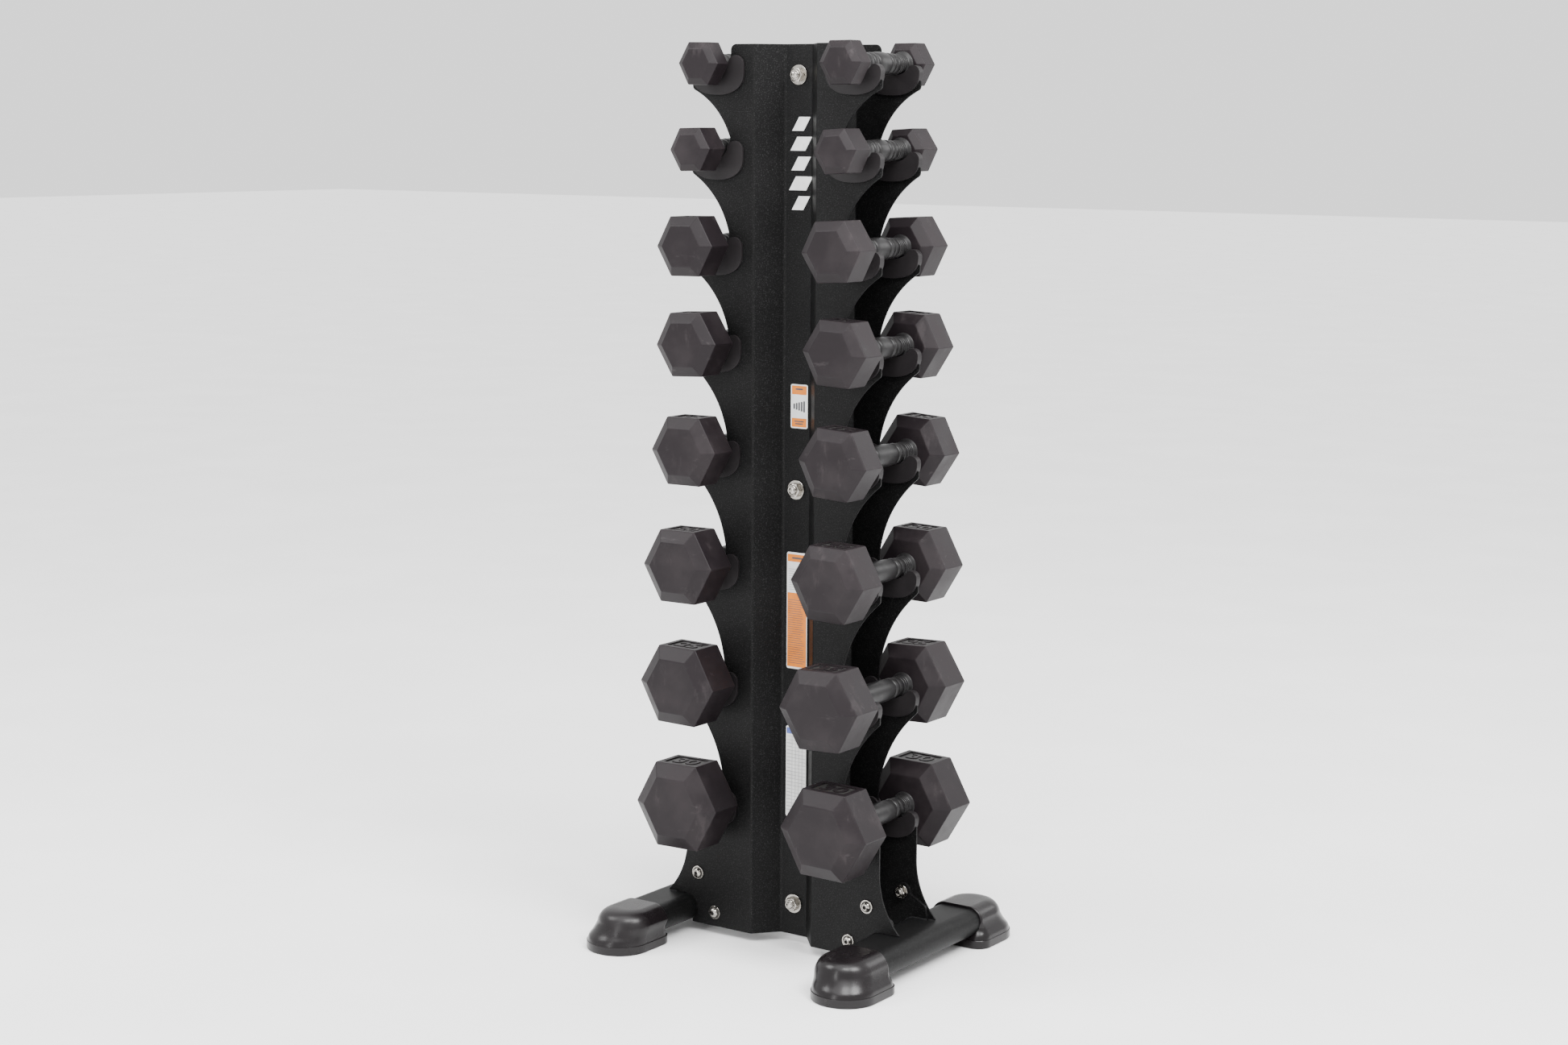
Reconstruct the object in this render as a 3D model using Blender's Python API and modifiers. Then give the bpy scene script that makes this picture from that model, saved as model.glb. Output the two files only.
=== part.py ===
"""Two-sided vertical dumbbell rack with eight pairs of hexagonal dumbbells.

Frame: metres, +Z up. The origin is on the floor, under the middle of the rack. X runs across the two
columns of teeth, and Y runs along the dumbbells, from the front panel (-Y) to the rear panel (+Y).
"""

import math

import bmesh
import bpy
from mathutils import Matrix, Vector

# ---------------------------------------------------------------- driving dimensions, in metres
GAP = 0.0003                   # clearance between neighbouring solids

PANEL_HEIGHT = 1.330
PANEL_BOTTOM = 0.014           # lower edge of the panels above the floor
SHEET = 0.003                  # steel sheet of the panels
PANEL_FACE_Y = 0.0525          # outer face of a panel, from the middle of the rack
CHANNEL_BEND_X = 0.0547        # outer bend of the channel, from the middle
CHANNEL_FLOOR_X = 0.0237       # inner bend of the channel, from the middle
CHANNEL_DEPTH = 0.0355
BEND_RADIUS = 0.006
BEND_STEPS = 3

COLUMN_X = 0.1245              # dumbbell axis at the top of the panels, from the middle
COLUMN_SPREAD = 0.0118         # how much further out that axis is at the bottom of the panels
WAIST_INSET = 0.0282           # panel edge above a tooth, inwards of the dumbbell axis
TIP_REACH = 0.0403             # outer edge of a tooth, outwards of the dumbbell axis
TIP_STEP_REACH = 0.0360        # the same where the saddle's lip covers the edge
TIP_STEP = -0.0240             # height of that step, from the height of the dumbbell axis
TIP_TOP = -0.0060              # top of a tooth, from the height of the dumbbell axis
TIP_BOTTOM = -0.0310           # where a tooth's outer edge ends, from the same height
TIP_TOP_RADIUS = 0.005
TIP_BOTTOM_RADIUS = 0.007
NOTCH_STEPS = 6                # straight lengths in the notch that holds a saddle
WAIST_ABOVE_AXIS = 0.017
UNDERCUT_BULGE = 0.10          # bow of the curve under a tooth, as a share of its chord
TOP_CORNER_RADIUS = 0.009

SEAT_RADIUS = 0.030            # trough of a saddle
SEAT_CENTRE = 0.0147           # centre of the trough, above the dumbbell axis
SADDLE_WIDTH = 0.011
SADDLE_WALL = 0.0042           # plastic between the trough and the edge of the sheet
SADDLE_CENTRE = -0.0066        # middle of a saddle's flange, outwards of the dumbbell axis
SADDLE_HALF = 0.0469
SADDLE_SHOULDER = -0.012       # height where the flange's rounded lower half begins
SADDLE_BOTTOM = -0.0443
SADDLE_POWER = 2.4             # squareness of the flange's lower half
EAR_CENTRE = -0.0018
LIP_TOP = -0.0015
LIP_RADIUS = 0.0105

FOOT_X = 0.1980                # middle of a foot tube
TUBE_HALF_WIDTH = 0.0418
TUBE_HALF_HEIGHT = 0.0206
TUBE_Z = 0.0362
TUBE_WALL = 0.0025
TUBE_HALF_LENGTH = 0.176
TUBE_CLEARANCE = 0.0005        # between a panel's foot and the tube
FOOT_TIP_X = 0.2095            # sharp tip of a panel's foot, on top of the tube
FOOT_FLARE_TOP = 0.130         # where a panel's edge starts to flare outwards
PANEL_CORNER_X = 0.1650        # panel's lower outer corner

GUSSET = 0.005
GUSSET_INNER_X = 0.110         # inner edge of a gusset, from the middle
GUSSET_LOW = 0.010             # its lower edge and its top, from the panels' lower edge
GUSSET_TOP = 0.093

BOOT_HALF_WIDTH = 0.0500
BOOT_BASE_SHIFT = 0.0060       # how far a boot's base stands out from the middle of its tube
BOOT_END_Y = 0.2330
BOOT_INNER_Y = 0.131
BOOT_TOE_Y = 0.116             # inner end of a boot's base
BOOT_CORNER_RADIUS = 0.022     # inner corners of a boot's base
BOOT_WALL = 0.0038             # rubber over the top of the tube
BOOT_ARC_STEPS = 10
BOOT_CORNER_STEPS = 3

HANDLE_RADIUS = 0.0150         # where the handle rests in the saddles
HANDLE_MIDDLE_RADIUS = 0.0168
COLLAR_RADIUS = 0.0190
COLLAR_LENGTH = 0.002
HEAD_FACE = 0.68               # a head's end faces, as a share of its size across flats
HEAD_BEVEL = 0.115             # depth of the bevels round those faces, as the same kind of share

BOLT_HEIGHTS = (1.286, 0.681, 0.0490)      # from the panels' lower edge
BOLT_RADIUS = 0.0050
BOLT_HOLE_RADIUS = 0.0056
SLEEVE_RADIUS = 0.0100
WASHER_RADIUS = 0.0145
WASHER = 0.0022
NUT_ACROSS_FLATS = 0.0190
NUT_HEIGHT = 0.0095
BOLT_END = 0.0030

# weight in pounds, head across flats, length of a head's flats, gap between the two heads' flats and
# height of the axis from the panels' lower edge
DUMBBELLS = (
    (5, 0.0610, 0.0260, 0.1440, 1.3015),
    (8, 0.0620, 0.0385, 0.1410, 1.1785),
    (10, 0.0865, 0.0412, 0.1525, 1.0390),
    (12, 0.0935, 0.0430, 0.1515, 0.8955),
    (15, 0.1005, 0.0435, 0.1680, 0.7385),
    (20, 0.1080, 0.0508, 0.1720, 0.5680),
    (25, 0.1165, 0.0558, 0.1835, 0.3885),
    (30, 0.1285, 0.0556, 0.1795, 0.2040),
)

# how each dumbbell was set down: (roll in degrees, shift along its axis in metres), lightest first
SET_DOWN = {
    "left": ((-1.0, 0.004), (1.5, -0.0035), (1.0, -0.0065), (2.5, 0.0), (0.5, 0.004), (0.5, 0.001),
             (-1.0, 0.012), (1.0, 0.011)),
    "right": ((0.5, -0.0015), (3.8, -0.0035), (3.0, -0.005), (-2.7, 0.0050), (-3.8, 0.009), (-1.5, 0.005),
              (1.8, -0.0065), (-1.0, 0.0035)),
}


# ---------------------------------------------------------------- scene, materials and helpers
def clear_scene():
    for old in list(bpy.data.objects):
        bpy.data.objects.remove(old, do_unlink=True)


def new_collection(name):
    group = bpy.data.collections.new(name)
    bpy.context.scene.collection.children.link(group)
    return group


def new_material(name, colour, roughness, metallic):
    finish = bpy.data.materials.new(name)
    finish.use_nodes = True
    shader = finish.node_tree.nodes["Principled BSDF"]
    shader.inputs["Base Color"].default_value = (*colour, 1.0)
    shader.inputs["Roughness"].default_value = roughness
    shader.inputs["Metallic"].default_value = metallic
    return finish


def black_paint(name):
    return new_material(name, (0.012, 0.012, 0.013), 0.45, 0.0)


def saddle_plastic(name):
    return new_material(name, (0.055, 0.050, 0.054), 0.50, 0.0)


def boot_rubber(name):
    return new_material(name, (0.050, 0.047, 0.050), 0.38, 0.0)


def head_rubber(name):
    return new_material(name, (0.060, 0.055, 0.057), 0.60, 0.0)


def bright_zinc(name):
    return new_material(name, (0.78, 0.76, 0.72), 0.28, 1.0)


def arc(centre, radius, start, end, steps):
    """Points of an arc in a plane, from one angle in degrees to the other."""
    points = []
    for step in range(steps + 1):
        angle = math.radians(start + (end - start) * step / steps)
        points.append((centre[0] + radius * math.cos(angle), centre[1] + radius * math.sin(angle)))
    return points


def bow(start, end, bulge, steps):
    """Points between two ends of a shallow circular arc that bows to the left of its chord."""
    start_point = Vector(start)
    chord = Vector(end) - start_point
    left = Vector((-chord.y, chord.x))
    points = []
    for step in range(1, steps):
        share = step / steps
        points.append(tuple(start_point + chord * share + left * (4.0 * bulge * share * (1.0 - share))))
    return points


def evaluated_mesh(source, name):
    graph = bpy.context.evaluated_depsgraph_get()
    return bpy.data.meshes.new_from_object(source.evaluated_get(graph), depsgraph=graph)


def add_object(name, mesh, group, finish=None):
    item = bpy.data.objects.new(name, mesh)
    group.objects.link(item)
    if finish is not None:
        mesh.materials.clear()
        mesh.materials.append(finish)
    return item


def flat_plate(name, outline, thickness, y_middle=0.0):
    """Mesh of a flat plate in the XZ plane, made from a filled 2D curve."""
    curve = bpy.data.curves.new(name, "CURVE")
    curve.dimensions = "2D"
    curve.fill_mode = "BOTH"
    curve.extrude = thickness / 2
    spline = curve.splines.new("POLY")
    spline.points.add(len(outline) - 1)
    for point, (x, z) in zip(spline.points, outline):
        point.co = (x, z, 0.0, 1.0)
    spline.use_cyclic_u = True
    guide = bpy.data.objects.new(name, curve)
    bpy.context.scene.collection.objects.link(guide)
    guide.matrix_world = Matrix.Translation((0.0, y_middle, 0.0)) @ Matrix.Rotation(math.pi / 2, 4, "X")
    bpy.context.view_layer.update()
    mesh = evaluated_mesh(guide, name)
    mesh.transform(guide.matrix_world)
    bpy.data.objects.remove(guide, do_unlink=True)
    weld(mesh)
    return mesh


def weld(mesh):
    form = bmesh.new()
    form.from_mesh(mesh)
    bmesh.ops.remove_doubles(form, verts=form.verts, dist=1e-6)
    bmesh.ops.recalc_face_normals(form, faces=form.faces)
    form.to_mesh(mesh)
    form.free()


def round_bar(name, profile, steps):
    """Mesh of a bar turned about Y: (position, radius) pairs along its axis, closed at both ends."""
    form = bmesh.new()
    ends = [(profile[0][0], 0.0), *profile, (profile[-1][0], 0.0)]
    points = [form.verts.new((radius, position, 0.0)) for position, radius in ends]
    edges = [form.edges.new(pair) for pair in zip(points, points[1:])]
    bmesh.ops.spin(form, geom=points + edges, cent=(0, 0, 0), axis=(0, 1, 0),
                   angle=2 * math.pi, steps=steps, use_merge=True)
    bmesh.ops.remove_doubles(form, verts=form.verts, dist=1e-6)
    bmesh.ops.recalc_face_normals(form, faces=form.faces)
    mesh = bpy.data.meshes.new(name)
    form.to_mesh(mesh)
    form.free()
    return mesh


def hexagon_block(name, sections):
    """Mesh of a hexagonal block along Y: (position, across flats) pairs, flats on top and bottom."""
    form = bmesh.new()
    rings = []
    for position, across_flats in sections:
        corner = across_flats / math.sqrt(3.0)
        ring = [form.verts.new((corner * math.cos(math.radians(60 * k)), position,
                                corner * math.sin(math.radians(60 * k)))) for k in range(6)]
        rings.append(ring)
    for low, high in zip(rings, rings[1:]):
        for k in range(6):
            form.faces.new((low[k], low[(k + 1) % 6], high[(k + 1) % 6], high[k]))
    form.faces.new(rings[0])
    form.faces.new(rings[-1])
    bmesh.ops.recalc_face_normals(form, faces=form.faces)
    mesh = bpy.data.meshes.new(name)
    form.to_mesh(mesh)
    form.free()
    return mesh


def hidden_cutter(mesh, group):
    cutter = add_object(mesh.name, mesh, group)
    cutter.hide_render = True
    cutter.display_type = "WIRE"
    return cutter


def combine(item, operation, other):
    step = item.modifiers.new(operation.title(), "BOOLEAN")
    step.operation = operation
    step.solver = "EXACT"
    step.object = other
    return step


def apply_modifiers(item):
    bpy.context.view_layer.update()
    mesh = evaluated_mesh(item, item.name)
    item.modifiers.clear()
    item.data = mesh
    return mesh


def shade_round(mesh, angle=35.0):
    mesh.shade_smooth()
    mesh.set_sharp_from_angle(angle=math.radians(angle))


# ---------------------------------------------------------------- places that several parts share
def column_x(height):
    """Distance of the dumbbell axis from the middle, at a height above the panels' lower edge."""
    return COLUMN_X + COLUMN_SPREAD * (1.0 - height / PANEL_HEIGHT)


def tooth_edge(x, z):
    """Edge of the sheet from the waist above a tooth, through its notch, round its tip."""
    radius = SEAT_RADIUS + SADDLE_WALL
    low = math.degrees(math.asin((SEAT_CENTRE - TIP_TOP) / radius))
    side = math.degrees(math.acos(WAIST_INSET / radius))
    points = arc((x, z + SEAT_CENTRE), radius, 180 + side, 360 - low, NOTCH_STEPS)
    step_x = x + TIP_STEP_REACH
    points += arc((step_x - TIP_TOP_RADIUS, z + TIP_TOP - TIP_TOP_RADIUS), TIP_TOP_RADIUS, 90, 0, 2)
    points += [(step_x, z + TIP_STEP), (x + TIP_REACH, z + TIP_STEP)]
    points += arc((x + TIP_REACH - TIP_BOTTOM_RADIUS, z + TIP_BOTTOM), TIP_BOTTOM_RADIUS, 0, -55, 2)
    return points


def panel_half_outline():
    """Right half of a panel's outline, from the middle of its top to the middle of its bottom."""
    first_z = DUMBBELLS[0][4]
    waist = column_x(first_z) - WAIST_INSET
    points = [(0.0, PANEL_HEIGHT)]
    points += arc((waist - TOP_CORNER_RADIUS, PANEL_HEIGHT - TOP_CORNER_RADIUS), TOP_CORNER_RADIUS, 90, 0, 3)
    for row, (*_, z) in enumerate(DUMBBELLS):
        edge = tooth_edge(column_x(z), z)
        if row == len(DUMBBELLS) - 1:
            points += edge[:-3]
            break
        points += edge
        next_z = DUMBBELLS[row + 1][4]
        next_waist = (column_x(next_z) - WAIST_INSET, next_z + WAIST_ABOVE_AXIS)
        points += bow(edge[-1], next_waist, -UNDERCUT_BULGE, 6)
        points.append(next_waist)
    tip_x = points[-1][0]
    tube_top = TUBE_Z - PANEL_BOTTOM + TUBE_HALF_HEIGHT + TUBE_CLEARANCE
    tip_height = tube_top + 0.0015
    points.append((tip_x, FOOT_FLARE_TOP))
    run = FOOT_TIP_X - tip_x
    rise = FOOT_FLARE_TOP - tip_height
    radius = (run * run + rise * rise) / (2 * run)
    sweep = math.degrees(math.asin(rise / radius))
    points += arc((tip_x + radius, FOOT_FLARE_TOP), radius, 180, 180 + sweep, 7)[1:]
    notch = TUBE_HALF_HEIGHT + TUBE_CLEARANCE
    round_x = FOOT_X - TUBE_HALF_WIDTH + TUBE_HALF_HEIGHT
    end_angle = 180 + math.degrees(math.acos((round_x - PANEL_CORNER_X) / notch))
    points.append((FOOT_TIP_X, tube_top))
    points += arc((round_x, TUBE_Z - PANEL_BOTTOM), notch, 90, end_angle, 8)
    points.append((PANEL_CORNER_X, 0.0))
    points.append((0.0, 0.0))
    return points


def mirrored_outline(half):
    """Whole outline from a right half that starts and ends on the middle line."""
    left = [(-x, z) for x, z in reversed(half[1:-1])]
    return half + left


# ---------------------------------------------------------------- panels
def channel_profile():
    """Cross-section of a panel's outer face, in plan, from left to right."""
    slope = math.degrees(math.atan2(CHANNEL_DEPTH, CHANNEL_BEND_X - CHANNEL_FLOOR_X))
    tangent = BEND_RADIUS * math.tan(math.radians(slope / 2))
    wide = FOOT_TIP_X + 0.02
    outer = arc((CHANNEL_BEND_X + tangent, -PANEL_FACE_Y + BEND_RADIUS), BEND_RADIUS,
                270, 270 - slope, BEND_STEPS)
    inner = arc((CHANNEL_FLOOR_X - tangent, -PANEL_FACE_Y + CHANNEL_DEPTH - BEND_RADIUS), BEND_RADIUS,
                90 - slope, 90, BEND_STEPS)
    right = [(wide, -PANEL_FACE_Y), *outer, *inner]
    left = [(-x, y) for x, y in right]
    return left + list(reversed(right))


def bent_sheet(name):
    """Open surface of the outer face, pulled up from below the panel to above it."""
    form = bmesh.new()
    profile = channel_profile()
    low = [form.verts.new((x, y, PANEL_BOTTOM - 0.02)) for x, y in profile]
    high = [form.verts.new((x, y, PANEL_BOTTOM + PANEL_HEIGHT + 0.02)) for x, y in profile]
    for k in range(len(profile) - 1):
        form.faces.new((low[k], low[k + 1], high[k + 1], high[k]))
    mesh = bpy.data.meshes.new(name)
    form.to_mesh(mesh)
    form.free()
    return mesh


def make_panels(parts, cutters):
    outline = [(x, z + PANEL_BOTTOM) for x, z in mirrored_outline(panel_half_outline())]
    blank = hidden_cutter(flat_plate("panel_outline", outline, 2.2 * PANEL_FACE_Y, 0.0), cutters)
    panel = add_object("front_panel", bent_sheet("front_panel"), parts)
    wall = panel.modifiers.new("Sheet", "SOLIDIFY")
    wall.thickness = SHEET
    wall.offset = -1.0
    wall.use_even_offset = True
    combine(panel, "INTERSECT", blank)
    for index, height in enumerate(BOLT_HEIGHTS):
        hole = round_bar(f"tie_bolt_hole_{index + 1}", [(-0.06, BOLT_HOLE_RADIUS), (0.0, BOLT_HOLE_RADIUS)], 12)
        drill = hidden_cutter(hole, cutters)
        drill.location.z = PANEL_BOTTOM + height
        combine(panel, "DIFFERENCE", drill)
    mesh = apply_modifiers(panel)
    mesh.materials.clear()
    mesh.materials.append(black_paint("black_powder_coat"))
    rear = add_object("rear_panel", mesh.copy(), parts)
    rear.rotation_euler.z = math.pi
    return panel, rear


# ---------------------------------------------------------------- saddles
def saddle_outline():
    """Outline of a saddle's flange around the dumbbell axis, clockwise from the inner ear."""
    inner = SADDLE_CENTRE - SADDLE_HALF
    outer = SADDLE_CENTRE + SADDLE_HALF
    rise = EAR_CENTRE - SEAT_CENTRE
    ear_right = -math.sqrt(SEAT_RADIUS ** 2 - rise ** 2)
    ear_radius = (ear_right - inner) / 2
    points = arc((inner + ear_radius, EAR_CENTRE), ear_radius, 180, 0, 5)
    low = math.degrees(math.asin(-rise / SEAT_RADIUS))
    lip_fall = SEAT_CENTRE - LIP_TOP
    high = math.degrees(math.asin(lip_fall / SEAT_RADIUS))
    points += arc((0.0, SEAT_CENTRE), SEAT_RADIUS, 180 + low, 360 - high, NOTCH_STEPS)[1:]
    points += arc((outer - LIP_RADIUS, LIP_TOP - LIP_RADIUS), LIP_RADIUS, 90, 0, 3)
    depth = SADDLE_SHOULDER - SADDLE_BOTTOM
    steps = 10
    for step in range(steps + 1):
        angle = -math.pi * step / steps
        x = math.copysign(abs(math.cos(angle)) ** (2 / SADDLE_POWER), math.cos(angle))
        z = -abs(math.sin(angle)) ** (2 / SADDLE_POWER)
        points.append((SADDLE_CENTRE + SADDLE_HALF * x, SADDLE_SHOULDER + depth * z))
    return drop_repeats(points)


def drop_repeats(points):
    kept = []
    for point in points:
        if not kept or (Vector(point) - Vector(kept[-1])).length > 1e-5:
            kept.append(point)
    return kept


def saddle_slot_outline():
    """Outline of the slot that takes the sheet's tooth, a clearance wider all round."""
    radius = SEAT_RADIUS + SADDLE_WALL - GAP
    side = math.degrees(math.acos((WAIST_INSET - GAP) / radius))
    low = math.degrees(math.asin((SEAT_CENTRE - TIP_TOP - GAP) / radius))
    reach = TIP_STEP_REACH + GAP
    top = TIP_TOP + GAP
    step = TIP_STEP + GAP
    points = [(-WAIST_INSET + GAP, 0.05)]
    points += arc((0.0, SEAT_CENTRE), radius, 180 + side, 360 - low, NOTCH_STEPS)
    points += arc((reach - TIP_TOP_RADIUS, top - TIP_TOP_RADIUS), TIP_TOP_RADIUS, 90, 0, 2)
    points += [(reach, step), (0.08, step), (0.08, -0.08), (-0.08, -0.08), (-0.08, 0.05)]
    return points


def make_saddles(parts, cutters):
    finish = saddle_plastic("saddle_plastic")
    flange = flat_plate("saddle", saddle_outline(), SADDLE_WIDTH)
    slot = hidden_cutter(flat_plate("saddle_slot", saddle_slot_outline(), SHEET + 2 * GAP), cutters)
    pattern = add_object("saddle_pattern", flange, parts)
    combine(pattern, "DIFFERENCE", slot)
    mesh = apply_modifiers(pattern)
    shade_round(mesh)
    mesh.materials.clear()
    mesh.materials.append(finish)
    bpy.data.objects.remove(pattern, do_unlink=True)
    middle_y = PANEL_FACE_Y - SHEET / 2
    for row, (*_, z) in enumerate(DUMBBELLS, start=1):
        for side, sign in (("left", -1), ("right", 1)):
            for place, y in (("front", -middle_y), ("rear", middle_y)):
                item = add_object(f"saddle_{side}_{place}_{row}", mesh, parts)
                item.location = (sign * column_x(z), y, PANEL_BOTTOM + z)
                item.rotation_euler.z = 0.0 if sign > 0 else math.pi


# ---------------------------------------------------------------- foot tubes and boots
def flat_oval(half_width, half_height, steps):
    """Outline of a flat oval around the origin, in the XZ plane."""
    straight = half_width - half_height
    return (arc((straight, 0.0), half_height, -90, 90, steps)
            + arc((-straight, 0.0), half_height, 90, 270, steps))


def gusset_outline():
    """Outline of a gusset plate, from inside the tube up its outer edge and down its inner edge."""
    top = PANEL_BOTTOM + GUSSET_TOP
    low = PANEL_BOTTOM + GUSSET_LOW
    return [
        (FOOT_X - 0.010, TUBE_Z - 0.004),
        (FOOT_X, TUBE_Z + 0.010),
        (FOOT_X, TUBE_Z + TUBE_HALF_HEIGHT + 0.001),
        *arc((0.1875, PANEL_BOTTOM + 0.0575), 0.0085, 15, 60, 3),
        (0.168, PANEL_BOTTOM + 0.078),
        *arc((0.155, top - 0.012), 0.012, 20, 130, 4),
        *arc((GUSSET_INNER_X + 0.012, PANEL_BOTTOM + 0.032), 0.012, 130, 180, 2),
        *arc((GUSSET_INNER_X + 0.008, low + 0.008), 0.008, 180, 270, 2),
        (FOOT_X - 0.030, low),
    ]


def make_foot_tubes(parts, cutters):
    finish = black_paint("black_tube_coat")
    outside = flat_oval(TUBE_HALF_WIDTH, TUBE_HALF_HEIGHT, 8)
    inside = flat_oval(TUBE_HALF_WIDTH - TUBE_WALL, TUBE_HALF_HEIGHT - TUBE_WALL, 8)
    gusset_y = PANEL_FACE_Y - SHEET - GAP - GUSSET / 2
    outline = [(x - FOOT_X, z - TUBE_Z) for x, z in gusset_outline()]
    tube = add_object("foot_tube_right", flat_plate("foot_tube", outside, 2 * TUBE_HALF_LENGTH), parts)
    for index, y in enumerate((-gusset_y, gusset_y), start=1):
        plate = hidden_cutter(flat_plate(f"gusset_{index}", outline, GUSSET, y), cutters)
        combine(tube, "UNION", plate)
    bore = hidden_cutter(flat_plate("tube_bore", inside, 2.2 * TUBE_HALF_LENGTH), cutters)
    combine(tube, "DIFFERENCE", bore)
    mesh = apply_modifiers(tube)
    shade_round(mesh)
    mesh.materials.clear()
    mesh.materials.append(finish)
    tube.location = (FOOT_X, 0.0, TUBE_Z)
    left = add_object("foot_tube_left", mesh, parts)
    left.location = (-FOOT_X, 0.0, TUBE_Z)
    left.rotation_euler.z = math.pi


def boot_section(half_width, end_y, shift, inner_y, corner):
    """One level of a boot around its tube's axis: half-round outer end towards -Y, rounded inner corners."""
    end_radius = half_width * 0.97
    centre_y = -(end_y - end_radius)
    points = arc((half_width - corner, -inner_y - corner), corner, 90, 0, BOOT_CORNER_STEPS)
    for step in range(BOOT_ARC_STEPS + 1):
        angle = -math.pi * step / BOOT_ARC_STEPS
        points.append((half_width * math.cos(angle), centre_y + end_radius * math.sin(angle)))
    points += arc((corner - half_width, -inner_y - corner), corner, 180, 90, BOOT_CORNER_STEPS)
    return [(x + shift, y) for x, y in points]


def boot_levels():
    """Height, half width, outer end, sideways shift, inner end and inner corner radius of a boot's levels."""
    wide, end, shift = BOOT_HALF_WIDTH, BOOT_END_Y, BOOT_BASE_SHIFT
    toe, corner = BOOT_TOE_Y, BOOT_CORNER_RADIUS
    levels = [
        (0.000, wide - 0.0015, end - 0.0015, shift, toe + 0.0015, corner),
        (0.002, wide, end, shift, toe, corner),
        (0.013, wide, end, shift, toe, corner),
        (0.020, wide - 0.0012, end - 0.0025, shift * 0.9, toe + 0.0045, corner * 0.9),
        (0.028, wide - 0.0030, end - 0.0090, shift * 0.5, toe + 0.0105, corner * 0.6),
    ]
    crown = TUBE_HALF_HEIGHT + BOOT_WALL
    straight = TUBE_HALF_WIDTH - TUBE_HALF_HEIGHT
    for degrees, inset in ((5, 0.0150), (25, 0.0180), (45, 0.0225), (63, 0.0290), (82, 0.0390)):
        angle = math.radians(degrees)
        half_width = straight + crown * math.cos(angle)
        levels.append((TUBE_Z + crown * math.sin(angle), half_width, end - inset, 0.0, BOOT_INNER_Y, 0.003))
    return levels


def boot_mesh(name):
    """Loft of a boot from its sole to its crown."""
    form = bmesh.new()
    rings = []
    for z, *section in boot_levels():
        rings.append([form.verts.new((x, y, z)) for x, y in boot_section(*section)])
    count = len(rings[0])
    for low, high in zip(rings, rings[1:]):
        for k in range(count):
            form.faces.new((low[k], low[(k + 1) % count], high[(k + 1) % count], high[k]))
    form.faces.new(rings[0])
    form.faces.new(rings[-1])
    bmesh.ops.recalc_face_normals(form, faces=form.faces)
    mesh = bpy.data.meshes.new(name)
    form.to_mesh(mesh)
    form.free()
    return mesh


def mirrored_mesh(mesh, name):
    copy = mesh.copy()
    copy.name = name
    copy.transform(Matrix.Scale(-1.0, 4, (1.0, 0.0, 0.0)))
    copy.flip_normals()
    return copy


def make_boots(parts, cutters):
    outline = flat_oval(TUBE_HALF_WIDTH + GAP, TUBE_HALF_HEIGHT + GAP, 8)
    pocket_length = TUBE_HALF_LENGTH + GAP - BOOT_INNER_Y + 0.02
    pocket_y = -(BOOT_INNER_Y - 0.02 + pocket_length / 2)
    pocket = hidden_cutter(flat_plate("boot_pocket", outline, pocket_length, pocket_y), cutters)
    pocket.location.z = TUBE_Z
    pattern = add_object("boot_pattern", boot_mesh("boot"), parts)
    combine(pattern, "DIFFERENCE", pocket)
    mesh = apply_modifiers(pattern)
    shade_round(mesh)
    mesh.materials.clear()
    mesh.materials.append(boot_rubber("boot_rubber"))
    bpy.data.objects.remove(pattern, do_unlink=True)
    other_hand = mirrored_mesh(mesh, "boot_mirrored")
    for side, sign in (("left", -1), ("right", 1)):
        for place, turn in (("front", 0.0), ("rear", math.pi)):
            same_hand = (sign > 0) == (place == "front")
            item = add_object(f"boot_{side}_{place}", mesh if same_hand else other_hand, parts)
            item.location.x = sign * FOOT_X
            item.rotation_euler.z = turn


# ---------------------------------------------------------------- tie bolts
def make_tie_bolts(parts, cutters):
    finish = bright_zinc("tie_bolt_zinc")
    floor_y = PANEL_FACE_Y - CHANNEL_DEPTH
    sleeve_end = floor_y - SHEET - GAP
    washer_start = floor_y + GAP
    washer_end = washer_start + WASHER
    bolt_end = washer_end + NUT_HEIGHT + BOLT_END
    half = [(sleeve_end, SLEEVE_RADIUS), (sleeve_end, BOLT_RADIUS), (washer_start, BOLT_RADIUS),
            (washer_start, WASHER_RADIUS), (washer_end, WASHER_RADIUS), (washer_end, BOLT_RADIUS),
            (bolt_end, BOLT_RADIUS)]
    profile = [(-y, radius) for y, radius in reversed(half)] + half
    bar = round_bar("tie_bolt", profile, 12)
    pattern = add_object("tie_bolt_pattern", bar, parts)
    for index, sign in enumerate((-1, 1), start=1):
        low = washer_end - 0.0005
        high = washer_end + NUT_HEIGHT
        sections = ((sign * low, NUT_ACROSS_FLATS), (sign * high, NUT_ACROSS_FLATS))
        nut = hidden_cutter(hexagon_block(f"tie_nut_{index}", sections), cutters)
        combine(pattern, "UNION", nut)
    mesh = apply_modifiers(pattern)
    shade_round(mesh)
    mesh.materials.clear()
    mesh.materials.append(finish)
    bpy.data.objects.remove(pattern, do_unlink=True)
    for name, height in zip(("top", "middle", "bottom"), BOLT_HEIGHTS):
        item = add_object(f"tie_bolt_{name}", mesh, parts)
        item.location.z = PANEL_BOTTOM + height


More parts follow.
